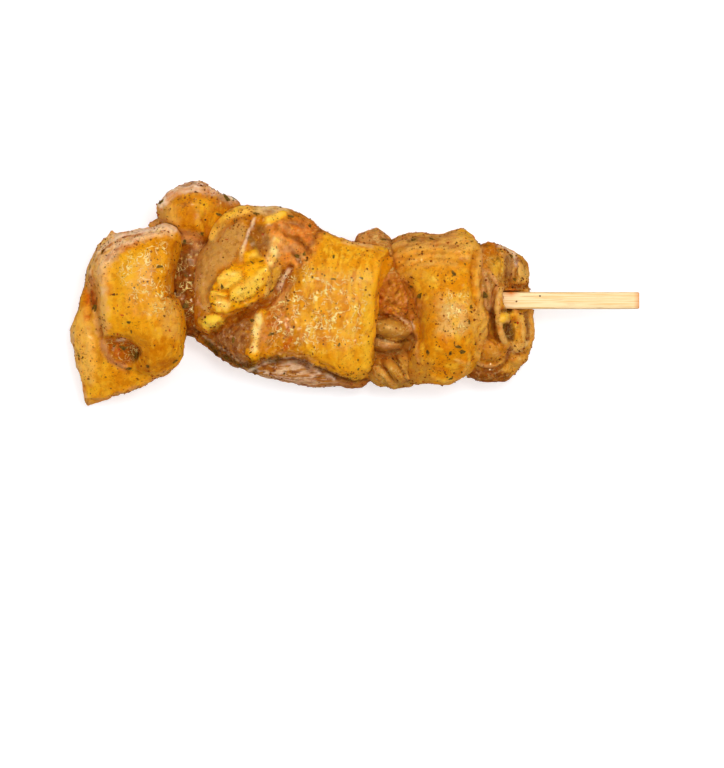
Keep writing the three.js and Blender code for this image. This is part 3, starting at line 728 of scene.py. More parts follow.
def fatty_slab(flesh):
    """The largest piece: fat, sinew and brown meat show at its left, and its right is a smooth slab."""
    crease = [
        (-18.4, 9.6), (-20.2, 6), (-22.4, 2), (-25, -0.6), (-28, -2), (-31, -4), (-34.6, -5.4),
        (-38.6, -7.4), (-41.5, -9.6),
    ]
    fold = [(9, 14.4), (6.6, 10), (5.6, 4), (5.2, -4), (5, -12), (4, -19)]
    slab = [
        (-10, 21), (-13, 14), (-15.6, 9), (-18.6, 3), (-19.6, -3), (-17, -9), (-14, -14.6), (-8, -18.4),
        (0, -22), (4, -20), (5.2, -6), (5.6, 4), (7, 13), (5, 15.6), (-2, 17.4),
    ]
    fat = [
        (-42, 1.6), (-40, 4.6), (-38.6, 7.6), (-35.4, 9.8), (-32.4, 10), (-31.4, 13.8), (-28, 14.8),
        (-26.4, 12.6), (-24.6, 10.4), (-24.6, 6), (-25.8, 2), (-28, 0.6), (-31, -1.6), (-35, -3),
        (-38.6, -3.6), (-41.6, -2.6),
    ]
    fat_tip = [(-44.8, -6), (-42.6, -4.4), (-39, -4.6), (-37.4, -6), (-39.6, -8.2), (-42.6, -9)]
    fat_strips = [
        ([(-22.4, 17), (-23.2, 14), (-23.8, 11)], 1.0),
        ([(-26.8, -3.6), (-28.2, -7), (-28.8, -12), (-29.2, -17)], 1.2),
        ([(-30.6, -15), (-28.4, -15.4), (-28.8, -17)], 1.1),
        ([(-25, 22.8), (-22.6, 24), (-20.4, 25)], 1.1),
    ]
    fat_lobes = [
        [
            (-39.3, 6.4), (-37.8, 7.9), (-34.8, 8.5), (-32.2, 8.2), (-31.8, 6.7), (-33.7, 4.8), (-36.7, 3),
            (-38.9, 3),
        ],
        [
            (-35.9, 0.7), (-35.2, 3.3), (-32.9, 4.8), (-30.3, 6.4), (-27.6, 8), (-25.4, 9.8), (-24.4, 9.2),
            (-25.4, 5.4), (-27.6, 2.6), (-30.3, 1.1), (-32.9, 0), (-35.2, -0.8),
        ],
        [(-40.4, -0.8), (-38.4, 0.3), (-36, -0.2), (-35.4, -1.4), (-37, -3), (-39.6, -3.2)],
        [(-41.4, 2.2), (-38.6, 2.2), (-37, 1.2), (-39, 0.2), (-41.2, 0.4)],
        [(-30.6, 12.2), (-29.4, 13.8), (-27.4, 13.4), (-27.6, 12)],
        [(-43.6, -6), (-40, -5.2), (-38.6, -6), (-41, -7.8)],
    ]
    cracks = [
        [(-31.4, 8), (-31.4, 6.4), (-33.6, 4.2), (-36.4, 2.6), (-36.2, -0.6)],
        [(-41.2, 3), (-38.4, 2.6), (-36.4, 2.6)],
        [(-41, -0.2), (-38.4, 0.8), (-36.2, 0.2)],
        [(-33.6, 10), (-30, 10.6), (-26, 10.8)],
        [(-33, -1), (-30, 0.2), (-27, 1.8)],
    ]
    far_edge = [(-41.6, 18.6), (-39.6, 22.4), (-36.4, 25), (-31, 26.6)]
    far_furrow = [(-39.6, 17.4), (-37.6, 20.6), (-34.6, 23), (-31, 24.4)]
    sinew = [(-28.7, 23.6), (-30.4, 19.6), (-31.8, 15.4), (-32.8, 11.6)]
    flesh.pull([(-25, -14, 22), (-18, -13.6, 22), (-12, -16, 23)], 2.4, (0, -2.0, 0))
    flesh.push(1.0 * flesh.zone(fat, 0.8))
    flesh.push(0.9 * flesh.zone(fat_tip, 0.8))
    flesh.push(0.5 * flesh.zone(slab, 1.0))
    for lobe in fat_lobes:
        flesh.push(0.6 * flesh.zone(lobe, 0.9))
    orange_folds = [
        [(-22, 21), (-19, 18.4), (-15.6, 17.4), (-12.6, 13.4)],
        [(-18, 22.4), (-15, 21.6)],
        [(-18.4, 14.8), (-16, 11.4)],
    ]
    flesh.carve([
        *[(path, 0.6, -0.5) for path in orange_folds],
        (crease, 0.8, -1.5),
        *[(path, width, 0.8) for path, width in fat_strips],
        *[(path, 0.4, -0.8) for path in cracks],
        (sinew, 0.45, 0.55),
        ([(-25.8, 0.8), (-24.6, 6)], 0.5, 0.6),
        ([(-24.2, 2.4), (-21.8, 9)], 0.9, 0.6),
        ([(-23, 2.2), (-20.4, 8.8)], 0.35, -0.7),
        ([(-21.4, 4), (-19.4, 8)], 0.8, 0.8),
        (far_edge, 1.5, 0.8),
        (far_furrow, 0.5, -0.6),
        ([(-29.6, 22), (-27, 19), (-26, 15)], 1.4, -0.6),
        (fold, 0.9, 0.8),
        ([(x + 1.6, y) for x, y in fold], 0.8, -0.6),
        ([(10.8, 12), (12, 9.6), (10, 7.4)], 0.9, 0.5),
        ([(-9, 19), (-1, 16), (5, 14.8)], 0.7, 0.4),
        ([
            (-27, -16.6), (-22, -15.6), (-16, -16), (-11, -18), (-5, -20.8), (0, -22.6), (3.4, -21.8),
        ], 0.5, 0.25),
        ([(-27, -18.4), (-22, -17.4), (-16, -17.8), (-11, -19.8), (-5, -22.4), (0, -24.2)], 0.6, -0.7),
    ])
    x, y, _ = flesh.points.T
    on_slab = flesh.zone(slab, 2.0)
    under_face = [
        (-30, -19.6), (-26.6, -17.2), (-22, -16.2), (-16, -16.6), (-11, -18.6), (-5, -21.2), (0, -23),
        (4.4, -22.6), (5, -27), (-28, -27),
    ]
    steep = blend_step(0.45, -0.1, flesh.normals[:, 2] + 0.6 * flesh.normals[:, 1])
    side = steep * blend_step(-13, -17, y - 0.25 * (x + 20))
    margin = np.interp(x, *np.transpose([(-60, -9), (-38, -9), *under_face[:8]]))
    side = np.maximum(side, flesh.zone(under_face, 0.4)) * blend_step(0.2, -0.4, y - margin)
    flesh.lumps(6, 0.35)
    flesh.fibres("y", 1.9, 0.05, on_slab)
    flesh.fibres("x", 1.3, 0.3, side)
    ragged_edge = [(-31, -18), (-27, -17), (-22, -16), (-16, -16.4), (-11, -18.4), (-5, -21), (0, -23)]
    flesh.lumps(1.5, 0.7, flesh.near(ragged_edge, 1.1))
    flesh.lumps(2.4, 0.12, (1 - on_slab) * (1 - flesh.zone(fat, 1)))
    orange_meat = [
        (-25, 21), (-21, 23), (-13, 23.6), (-8.6, 20), (-10.6, 16), (-13, 11), (-17, 9.6), (-22.4, 15),
    ]
    orange = flesh.zone(orange_meat, 1.6)
    flesh.lumps(1.7, 0.28, orange)
    wet_skin = [(-22, 8), (-15, 12), (-10, 6), (0, 8), (4, 0), (2, -12), (-12, -15), (-24, -14), (-24, -2)]
    wormy = flesh.zone(wet_skin, 3)
    flesh.wrinkles(2.2, 0.07, wormy)
    flesh.wet = np.maximum(0.4 + 0.6 * wormy, 0.9 * flesh.near([(-27, -4), (-29, -1), (-31, 0)], 2.2))

    flesh.wash(TURMERIC, 0.35)
    flesh.mottle(YELLOW, 5, 0.5, -0.1)
    flesh.streaks(AMBER, "y", 1.5, 0.65)
    flesh.streaks(PALE_GOLD, "y", 1.2, 0.9, start=0.1)
    left = blend_step(-12.5, -16.5, x - 0.5 * (y - 9))
    flesh.wash(AMBER, 0.8 * left)
    flesh.mottle(BROWN, 3, 0.4 * left)
    flesh.fill([
        (paint(204, 148, 72), 0.9, [
            (-46.4, 11), (-43, 17.6), (-40.6, 20.6), (-36, 21.8), (-32.6, 23), (-31.2, 20), (-33.2, 14),
            (-35, 11), (-39.4, 9), (-40.6, 5), (-43, 2), (-46, 3),
        ], 1.0),
        (PALE_TAN, 0.4, [(-45.8, 6), (-42, 7), (-41, 1), (-42, -3.4), (-45, -3)], 1.2),
        (BROWN, 0.8, [(-30, 22.6), (-25, 21.6), (-24.6, 17), (-25.2, 13.8), (-29, 15), (-31.4, 18)], 1.0),
        (PALE_TAN, 0.9, [(-31, 27.6), (-20, 28), (-18.6, 25), (-26, 24.6), (-31, 25)], 0.8),
        (paint(255, 214, 142), 1.0, [(-28, 27.6), (-19, 27.8), (-20, 25.4), (-28, 25.4)], 1.0),
        (paint(240, 144, 54), 0.9, [
            (-25, 21), (-21, 23), (-13, 23.6), (-8.6, 20), (-10.6, 16), (-13, 11), (-17, 9.6), (-21, 11),
            (-22.4, 15),
        ], 1.6),
        (ORANGE_RED, 0.4, [(-17, 22.4), (-12, 22.4), (-10, 19), (-14, 15), (-18, 18)], 1.6),
        (paint(150, 96, 52), 0.9, [
            (-41.4, -9.4), (-36, -6.6), (-31, -4.6), (-29.6, -7), (-30.8, -12), (-31.6, -17), (-35, -18.4),
            (-40, -14),
        ], 1.0),
        (PINK_TAN, 0.5, [(-24, -1), (-20, 6), (-17.6, 5), (-19.6, -2), (-23, -4)], 1.0),
        (paint(208, 150, 52), 0.9, [
            (-24.6, 9.6), (-21.4, 10.2), (-20.8, 8.4), (-22.6, 4.6), (-24.4, 1.4), (-25.8, 1),
        ], 0.5),
        (AMBER, 0.7, [
            (-25, -3), (-22, -2.6), (-19.4, -4), (-17, -8), (-14.6, -13), (-17, -15), (-22, -15.6),
            (-26, -14.6), (-26.6, -10), (-25.6, -6),
        ], 1.8),
        (PALE_GOLD, 0.8, [(1.6, 8), (4.8, 8), (4.8, -20), (2, -21), (2.4, -8)], 0.8),
        (TURMERIC, 0.7, [(5.8, 14), (11, 13), (12, 9.4), (8, 5), (6, -4), (5.6, 4)], 0.8),
    ])
    red = flesh.zone([(-25, -3), (-20, -3), (-17, -8), (-15, -13), (-22, -15.4), (-26, -14), (-26, -6)], 1.5)
    flesh.mottle(ORANGE_RED, 2.2, 0.8 * red)
    flesh.mottle(RED_BROWN, 1.7, 0.6 * red, 0.1, offset=11)
    flesh.mottle(PALE_TAN, 1.3, 0.8 * red, 0.2, offset=7)
    season(flesh, rim_share=0.15)
    flank = [(5.6, 12), (8.4, 12), (7.6, 4), (7, -4), (6.6, -14), (5.4, -14)]
    flesh.fill([(paint(255, 172, 30), 0.95, flank, 0.8)])
    fleshy = (1 - on_slab) * (1 - side)
    flesh.mottle(RED_BROWN, 1.5, 0.4 * fleshy, 0.2, offset=2)
    flesh.mottle(CREAM, 0.9, 0.35 * fleshy, 0.35, offset=44)
    flesh.mottle(PINK_TAN, 1.8, 0.35 * fleshy, 0.15, offset=6)
    flesh.mottle(AMBER, 2.2, 0.35 * on_slab, 0.15, offset=14)
    flesh.mottle(FAT_PALE, 1.6, 0.4 * on_slab, 0.25, offset=17)
    # Partly painted shade: the side faces, turned down and away, are washed brown under their pale layers.
    flesh.wash(paint(174, 106, 46), 0.9 * side)
    flesh.streaks(BURNT_ORANGE, "x", 1.6, 0.6 * side, 6, start=0.0)
    flesh.streaks(PINK_WHITE, "x", 1.1, 0.8 * side * blend_step(0, -16, x), 6, start=-0.1)
    flesh.streaks(CHALKY, "x", 0.9, 0.6 * side * blend_step(2, -10, x), 5, start=0.15)
    flesh.streaks(RED_BROWN, "x", 0.9, 0.9 * side, 4, start=0.2)
    torn_edge = [
        (-44, -9), (-39, -13), (-33, -17.4), (-28.6, -18.6), (-28.6, -22), (-34, -21), (-40, -17), (-45, -11),
    ]
    fringe = flesh.zone(torn_edge, 0.7)
    flesh.lumps(1.5, 0.8, fringe)
    flesh.wash(DARK_BROWN, 0.6 * fringe)
    flesh.mottle(DARK_OLIVE, 1.8, 0.8 * fringe, -0.1)
    flesh.mottle(AMBER, 1.3, 0.7 * fringe, 0.15, offset=4)
    flesh.mottle(CHALKY, 0.9, 0.4 * fringe, 0.35, offset=8)
    below_fat = [
        (-41.4, -9.4), (-36, -7.4), (-31, -5), (-29.4, -8), (-30.4, -12), (-31.4, -17), (-35, -18.4),
        (-40, -14),
    ]
    brown_meat = flesh.zone(below_fat, 0.8)
    flesh.mottle(RED_BROWN, 2.0, 0.7 * brown_meat, offset=31)
    flesh.mottle(AMBER, 1.6, 0.7 * brown_meat, 0.1, offset=34)
    flesh.mottle(PINK_WHITE, 1.1, 0.5 * brown_meat, 0.3, offset=37)
    grey_edge = flesh.zone([(-47, 8), (-44, 8), (-42, 1), (-41.6, -4), (-45, -5), (-47, 0)], 1.0)
    flesh.mottle(PINK_WHITE, 1.5, 0.5 * grey_edge, 0.1, offset=41)
    fatty = np.maximum(flesh.zone(fat, 0.4, 1.6), flesh.zone(fat_tip, 0.4, 1.4))
    for path, width in fat_strips:
        fatty = np.maximum(fatty, blend_step(0.3, 0.6, flesh.near(path, width)))
    flesh.wash(FAT_YELLOW, fatty)
    pale = np.minimum(1, sum(flesh.zone(lobe, 0.6) for lobe in fat_lobes))
    flesh.wash(FAT_PALE, 0.8 * fatty * pale)
    flesh.mottle(AMBER, 1.5, 0.6 * fatty * (1 - pale))
    flesh.mottle(TURMERIC, 2.6, 0.4 * fatty, 0.1, offset=3)
    flesh.wash(paint(255, 212, 70), 0.9 * flesh.zone(fat_tip, 0.8))
    flesh.fat = fatty
    flesh.dab([
        (BROWN, 0.8, [(-24, -17), (-20, -16.2), (-16, -16.6), (-11, -18.6), (-7, -20.4)], 0.9),
        # Pale lines along the underside: partly pale layers, partly a painted highlight.
        (CREAM, 0.7, [(-22, -15.4), (-18, -15.2), (-14, -16.2), (-11, -17.6)], 0.2),
        (CHALKY, 0.7, [(-20, -16.4), (-16, -16.9), (-12, -18.6)], 0.2),
        (CHALKY, 0.9, [(-22, -17.8), (-17, -18.2), (-12, -20.2), (-6, -22.6)], 0.3),
        (DARK_OLIVE, 0.8, [(-24.4, -17.2), (-22, -17)], 0.6),
        (RED_BROWN, 0.8, [(-30, -18.2), (-26, -17.2)], 0.7),
    ])
    flesh.spiced = 0.5 + 0.6 * fleshy
    flesh.mottle(BURNT_ORANGE, 2.1, 0.7 * orange, offset=61)
    flesh.mottle(RED_BROWN, 1.3, 0.45 * orange, 0.25, offset=64)
    flesh.mottle(PALE_TAN, 1.0, 0.6 * orange, 0.3, offset=67)
    flesh.raggedness = 0.4
    flesh.dab([
        *[(AMBER, 0.6, path, 0.3) for path in cracks],
        # Painted shade along the crease: burnt orange, with red-brown in its depth.
        (BURNT_ORANGE, 0.8, crease, 1.0),
        (RED_BROWN, 0.5, crease, 0.5),
        (PINK_WHITE, 0.95, sinew[:3], 0.36),
        (CREAM, 0.9, sinew[2:], 0.5),
        (PALE_TAN, 0.8, [(-25.8, 0.6), (-24.6, 6.4)], 0.4),
        (PALE_GOLD, 0.7, [(-23.8, 4), (-22.2, 9)], 0.5),
        (BROWN, 0.8, [(-23.2, 2), (-20.6, 8.8)], 0.3),
        (PINK_WHITE, 0.9, [(-21.8, 3.4), (-20.6, 6), (-18.9, 8.6)], 0.55),
        (BURNT_ORANGE, 0.7, [(-20.4, 3), (-19, 5.6), (-17.9, 8.4)], 0.4),
        (paint(250, 192, 78), 1.0, far_edge, 1.5),
        (PALE_GOLD, 0.7, [(-40.8, 20.6), (-38, 24), (-34, 26)], 0.7),
        (BURNT_ORANGE, 0.6, far_furrow, 0.45),
        (GREY_BROWN, 0.7, [(-27, 13.6), (-25.6, 16.4)], 1.2),
        (PALE_TAN, 0.8, [(-44.6, 4), (-43.6, 0), (-42.4, -3)], 0.7),
        (GREY_BROWN, 0.7, [(-42.4, 2.4), (-40.6, 5.6)], 0.4),
        (PINK_WHITE, 0.7, [(-23.6, 25.6), (-19, 27.2), (-16.6, 25.6)], 0.35),
        (BROWN, 0.6, [(-28.6, 24.6), (-23, 26)], 0.8),
        (paint(255, 222, 140), 1.0, [(-22.4, 17), (-23.2, 14), (-23.8, 11.2)], 1.2),
        (paint(255, 222, 140), 0.95, [(-27.6, -5), (-28.6, -10), (-29, -14)], 1.0),
        (FAT_PALE, 0.9, [(-24.6, 23), (-21, 24.8)], 0.9),
        (paint(255, 218, 104), 0.8, [(-33.4, 2.2), (-31, 3.4), (-28, 6.4)], 0.5),
        (paint(255, 214, 112), 0.8, [(-39, -0.8), (-37, -1.4)], 0.9),
        (paint(255, 218, 104), 0.6, [(-38, 6.6), (-35, 7.4)], 0.7),
        (FAT_PALE, 0.8, [(-42.2, -6.8), (-40.6, -6.4)], 0.9),
        (RED_BROWN, 0.7, [(-9.6, 20.6), (-11.6, 17.4), (-14.4, 14.4), (-18, 12.6)], 0.8),
        *[(RED_BROWN, 0.7, path, 0.7) for path in orange_folds],
        (PINK_TAN, 0.6, [(-20.6, 21.4), (-18.6, 19.8)], 0.6),
        (PINK_TAN, 0.5, [(-14.6, 19.4), (-12.4, 16.4)], 0.7),
        (PINK_TAN, 0.7, [(-20, 14.6), (-17.4, 15.4), (-15.6, 13)], 1.0),
        (PINK_TAN, 0.5, [(-21.6, 22.8), (-17.6, 22.4), (-13, 20.4)], 0.4),
        (DARK_OLIVE, 0.5, [(-30, 17.6), (-28.4, 15.4)], 0.8),
        (DARK_BROWN, 0.5, [(-27.4, 20.6), (-25.8, 18)], 0.8),
        (PALE_GOLD, 0.6, [(-2.6, -11), (-2, -18)], 2.4),
        (YELLOW, 0.6, fold, 0.7),
        (TURMERIC, 0.9, [(x + 1.9, y) for x, y in fold], 1.1),
        (PINK_WHITE, 0.5, [(-3, 17), (1, 16), (5, 15.4)], 0.5),
        (GOLDEN, 0.8, [(-10, -16.8), (-5, -19.4), (0, -21.4), (3.4, -20.8)], 1.2),
        (BURNT_ORANGE, 0.7, [(-22, -15), (-16, -15.4), (-11, -17.2), (-6, -19.6)], 0.4),
        # Painted shade in the furrow under the slab's lower edge.
        (DARK_BROWN, 0.8, [
            (-21, -16.6), (-16, -17), (-11, -19), (-5, -21.8), (0, -23.4), (3.4, -22.8),
        ], 0.35),
        (DARK_OLIVE, 0.8, [(-42, -12), (-38.6, -16), (-34, -19.4), (-29, -19.6)], 1.2),
        # Painted highlight: a thin pale line along the torn fringe.
        (PINK_WHITE, 0.6, [(-44, -10.2), (-40.6, -12.6), (-37, -15), (-33.6, -17.4)], 0.25),
        (PINK_TAN, 0.6, [(-39, -16.4), (-34.6, -19.4), (-30, -20.2)], 0.35),
        (CHALKY, 0.8, [(-31, -20.6), (-27, -18.6), (-23.6, -17.4)], 0.35),
        (DARK_OLIVE, 0.7, [(-24.6, -17), (-22, -17.4)], 0.8),
    ])


def granular_meat(flesh):
    """The rough wet meat where the curled piece runs up into its right-hand neighbour."""
    rough = flesh.zone([
        (6, 8), (11.6, 8.4), (16, 5), (19.6, -1), (19, -6), (14, -4.6), (9, -4.8), (6, 0),
    ], 1.4)
    flesh.wash(paint(186, 104, 30), 0.8 * rough)
    flesh.mottle(paint(222, 146, 82), 1.3, 0.75 * rough, 0.05)
    flesh.mottle(ORANGE_RED, 2.2, 0.4 * rough, 0.1, offset=13)
    flesh.mottle(RED_BROWN, 1.5, 0.8 * rough, 0.1, offset=5)
    flesh.mottle(PALE_GOLD, 0.9, 0.6 * rough, 0.3, offset=9)


def curled_piece(flesh):
    """Thin meat gathered up between two larger pieces: a flap, two curls and a fan of ribs."""
    upper_curl = [(6, -5.6), (12, -5.6), (16, -8.8), (16, -11), (12, -11.8), (8.4, -10.6), (5.6, -10)]
    lower_curl = [(5.8, -11), (7, -10.6), (10, -12.2), (13.6, -12.6), (12.4, -14.6), (9, -15.2), (6, -13.6)]
    ribs = [
        [(6.4, -19.4), (9, -22), (11.6, -25)],
        [(5.6, -22), (8, -24.8)],
        [(10, -17), (12.6, -19.6), (16, -24)],
        [(14, -15.4), (16, -17.4), (18, -20)],
    ]
    between_curls = [(5.4, -9.9), (9, -11.5), (12, -12), (15.4, -11.6)]
    below_curls = [(5.4, -14.6), (9, -15.8), (12.6, -14.6)]
    lip = [(12, -4.4), (15.4, -6.4), (17, -9.6), (17.2, -13), (16.8, -17)]
    flesh.raggedness = 0.35
    flesh.push(0.8 * flesh.zone(upper_curl, 1.2))
    flesh.push(0.7 * flesh.zone(lower_curl, 1.0))
    flesh.push(0.9 * flesh.zone([(6, 8), (14, 8), (17, -3), (10, -5), (6, 0)], 1.2))
    flesh.carve([
        (between_curls, 0.4, -1.1),
        (below_curls, 0.6, -0.6),
        ([(5.6, -4.8), (9, -4.6), (13, -5)], 0.6, -0.6),
        (lip, 0.6, 0.7),
        *[(path, 1.0, 0.7) for path in ribs],
        *[([(x + 1.5, y + 0.6) for x, y in path], 0.4, -0.5) for path in ribs],
    ])
    flesh.lumps(3, 0.25)
    granular = flesh.zone([(7, 7), (13, 6), (15, -3), (9, -5), (7, 0)], 1.2)
    flesh.lumps(1.5, 0.35, granular)
    back = blend_step(13, 15, flesh.points[:, 1])
    flesh.fibres("x", 1.0, 0.3, back)
    flesh.wet = 0.65 - 0.3 * granular
    flesh.wash(OLIVE_TAN, 0.9)
    flesh.mottle(BROWN, 3, 0.5)
    flesh.wash(PINK_TAN, 0.5 * back)
    flesh.streaks(BROWN, "x", 1.1, 0.7 * back)
    flesh.wash(AMBER, 0.8 * granular)
    season(flesh, sauce_and_shade=BROWN, rim=PALE_TAN, rim_share=0.5)
    granular_meat(flesh)
    flesh.fill([
        (BROWN, 0.35, [(5, -4), (17.4, -4), (17.4, -17), (5, -17)], 1.0),
        (OLIVE_TAN, 0.7, upper_curl, 0.6),
        # Partly a painted highlight: the pale middle of the upper curl.
        (PALE_TAN, 0.35, [(8.6, -6.8), (13, -7.4), (14, -9.6), (10.6, -10.2)], 1.4),
        (paint(158, 94, 20), 0.9, lower_curl, 0.6),
        (BURNT_ORANGE, 0.6, [(5.4, -15.4), (15, -15.4), (10, -18), (5.4, -18.4)], 0.8),
    ])
    flesh.dab([
        # Painted shade in the gaps between and below the curls.
        (DARK_BROWN, 0.8, between_curls, 0.35),
        (BROWN, 0.6, below_curls, 0.6),
        # The lip: pink meat, with a chalky painted highlight along its crest.
        (PINK_TAN, 0.6, lip, 0.5),
        (CHALKY, 0.6, [(13.4, -5.2), (15.2, -6.6)], 0.3),
        # The curls' pale tops: partly their pale colour, partly a painted highlight.
        (CREAM, 0.5, [(9.4, -7.8), (11.4, -8.4)], 0.5),
        (CREAM, 0.5, [(8.4, -11.8), (11, -12.4)], 0.35),
        (CREAM, 0.6, [(6.4, -11), (9.4, -12.4), (12.4, -12.8)], 0.3),
        *[(paint(222, 150, 58), 0.7, path, 0.9) for path in ribs],
        # Partly a painted highlight: pink along the top of the lower curl.
        (PINK_TAN, 0.6, [(6.4, -12), (9.4, -13.4), (12, -13.6)], 0.7),
        (DARK_OLIVE, 0.7, [(-0.6, 17.2), (3, 15.6)], 0.5),
        (DARK_OLIVE, 0.7, [(8, 17.6), (11, 17.2)], 0.5),
    ])


def domed_piece(flesh):
    """A rounded piece with layered far edge, a pale dome, and a ruffled edge towards the tip."""
    layers = [
        [(12.4, 8), (16, 11.4), (21, 13), (28, 12.4)],
        [(14, 6.6), (18, 9.6), (23, 10.8), (29, 10.4)],
        [(11, 12.6), (15, 14.6), (22, 15.2), (29, 14.2), (33, 15.4)],
        [(10, 15.4), (16, 17.4), (24, 17.2), (31, 18)],
    ]
    wart = [(22.6, 6.6), (23.2, 5.8)]
    small_fold = [(29.6, -17.4), (33, -18.4), (31.6, -21)]
    ruffle = [(36.4, 14), (35.6, 9), (35.4, 4), (36.6, -1), (37.8, -6), (37.6, -11), (35.6, -16)]
    flesh.carve([
        *[(path, 0.9, 0.16) for path in layers],
        *[([(x, y + 1.2) for x, y in path], 0.5, -0.14) for path in layers],
        (ruffle, 0.8, 0.6),
        ([(x - 1.7, y) for x, y in ruffle[:4]], 0.6, -0.5),
        ([(17, -6), (15.4, 0), (12.6, 4)], 1.8, -0.7),
        ([(16.6, -6), (18, -10), (17.6, -15)], 0.6, 0.5),
        (wart, 0.8, 0.7),
        ([(18, -8), (20.6, -15), (21, -22)], 1.0, -0.4),
        (small_fold, 0.5, 0.4),
        ([(22.6, -22), (26, -23.6), (30, -22.6), (34, -20)], 0.6, 0.5),
        ([(26, 1), (25, -6), (26, -12)], 1.4, -0.3),
    ])
    flesh.lumps(5, 0.3)
    flesh.lumps(2.3, 0.7, flesh.near(ruffle, 2.2))
    y = flesh.points[:, 1]
    banded = blend_step(8, 10.5, y)
    flesh.spiced = 1 - 0.35 * banded
    flesh.fibres("x", 1.9, 0.16, banded, 9)
    flesh.fibres("y", 2.2, 0.06, 1 - banded)
    dome = flesh.zone([(27, 3), (33, 2), (33, -9), (28, -10), (26, -3)], 1.5)
    flesh.wrinkles(2.0, 0.07, dome)
    flesh.wet = 0.35 + 0.65 * dome
    flesh.wash(TURMERIC, 0.5)
    flesh.mottle(OLIVE_TAN, 5, 0.5, -0.1)
    flesh.mottle(TAN, 1.6, 0.5, 0.1, offset=3)
    flesh.fill([
        (paint(240, 166, 54), 0.7, [(12, 9), (20, 9.6), (35, 9.4), (36, 15), (12, 15)], 1.0),
        (PINK_TAN, 0.6, [(10, 15.4), (31, 15), (30, 21), (10, 21)], 0.8),
        (BROWN, 0.35, [(10, 15.8), (20, 16.4), (28, 17), (27, 20), (10, 20)], 1.5),
        (YELLOW, 0.6, [(30, 14), (35.6, 13), (36, 20), (30, 21)], 1.0),
        (TURMERIC, 0.9, [(26.6, 11.6), (34, 11.6), (34.6, 2), (27, 2.4)], 1.2),
        # The dome washed cream: partly its pale translucent meat, partly a painted reflection.
        (CREAM, 0.55, [(24.6, 1), (32, 1), (32.4, -8), (29, -12), (24.6, -9)], 2.2),
        # Painted shade: burnt orange over the left side, deep in the recess by its neighbour.
        (BURNT_ORANGE, 0.8, [(12, 4.6), (15, 1), (19.6, -2), (19.6, -7), (16, -6), (11, 1)], 1.6),
        (AMBER, 0.7, [(17.6, -4), (22, -6), (21.6, -16), (18, -14)], 1.4),
        (TURMERIC, 0.9, [(24, -11), (33, -11), (35, -18), (30, -23), (23, -22)], 1.5),
        (OLIVE_TAN, 0.9, [(14, -16), (21, -17), (22, -24), (15, -25)], 1.2),
        (PALE_GOLD, 0.6, [(17, 8), (24, 8), (24, 3), (18, 3)], 1.2),
        (PALE_TAN, 0.7, [(34, -1), (37.6, -3), (38.6, -9), (36, -13), (34, -8)], 1.0),
    ])
    top = blend_step(13.6, 16, y)
    flesh.streaks(BROWN, "x", 1.3, 0.35 * banded + 0.3 * top, 8, start=0.05)
    flesh.streaks(PALE_TAN, "x", 1.5, 0.35 * banded, 9, start=0.1)
    flesh.streaks(PALE_TAN, "x", 1.3, 0.6 * top, 9, start=0.0)
    flesh.wash(paint(244, 182, 76), 0.8 * flesh.near([(30.6, 17.6), (33.6, 15.4)], 1.8))
    flesh.streaks(AMBER, "y", 2.0, 0.3 * (1 - banded), start=0.05)
    flesh.mottle(PALE_GOLD, 3.4, 0.6 * (1 - banded), 0.05, offset=10)
    flesh.mottle(AMBER, 1.8, 0.55 * (1 - banded), 0.15, offset=13)
    flesh.mottle(BROWN, 0.9, 0.5 * (1 - dome), 0.35, offset=16)
    season(flesh, rim_share=0.3)
    granular_meat(flesh)
    flesh.dab([
        (PALE_TAN, 0.6, ruffle, 0.8),
        (PINK_TAN, 0.6, [(36.6, 14), (37.4, 10), (37.2, 6)], 0.7),
        (BURNT_ORANGE, 0.6, [(x - 1.5, y) for x, y in ruffle[:3]], 0.6),
        (BROWN, 0.5, [(37, 1.6), (38, -2.6)], 0.6),
        *[(BROWN, 0.35, [(x, y + 1.1) for x, y in path], 0.35) for path in layers],
        *[(PALE_TAN, 0.5, path, 0.6) for path in layers],
        (DARK_OLIVE, 0.6, [(15.6, 17), (18, 17.8)], 0.5),
        (RED_BROWN, 0.5, [(19, 17.4), (24, 17.6)], 0.5),
        (RED_BROWN, 0.4, [(12, 14.2), (15, 15.6)], 0.35),
        (PINK_TAN, 0.5, [(16.4, -6), (17.8, -10), (17.8, -14), (18.4, -18)], 0.4),
        (CHALKY, 0.6, [(16.2, -6.4), (17, -8)], 0.3),
        (FAT_PALE, 0.8, wart, 0.7),
        (PALE_TAN, 0.7, small_fold, 0.4),
        (PALE_TAN, 0.6, [(22.6, -22), (26, -23.8), (30, -23), (34, -20.4)], 0.5),
        (ORANGE_RED, 0.25, [(26.6, -14), (25.6, -11)], 0.8),
    ])


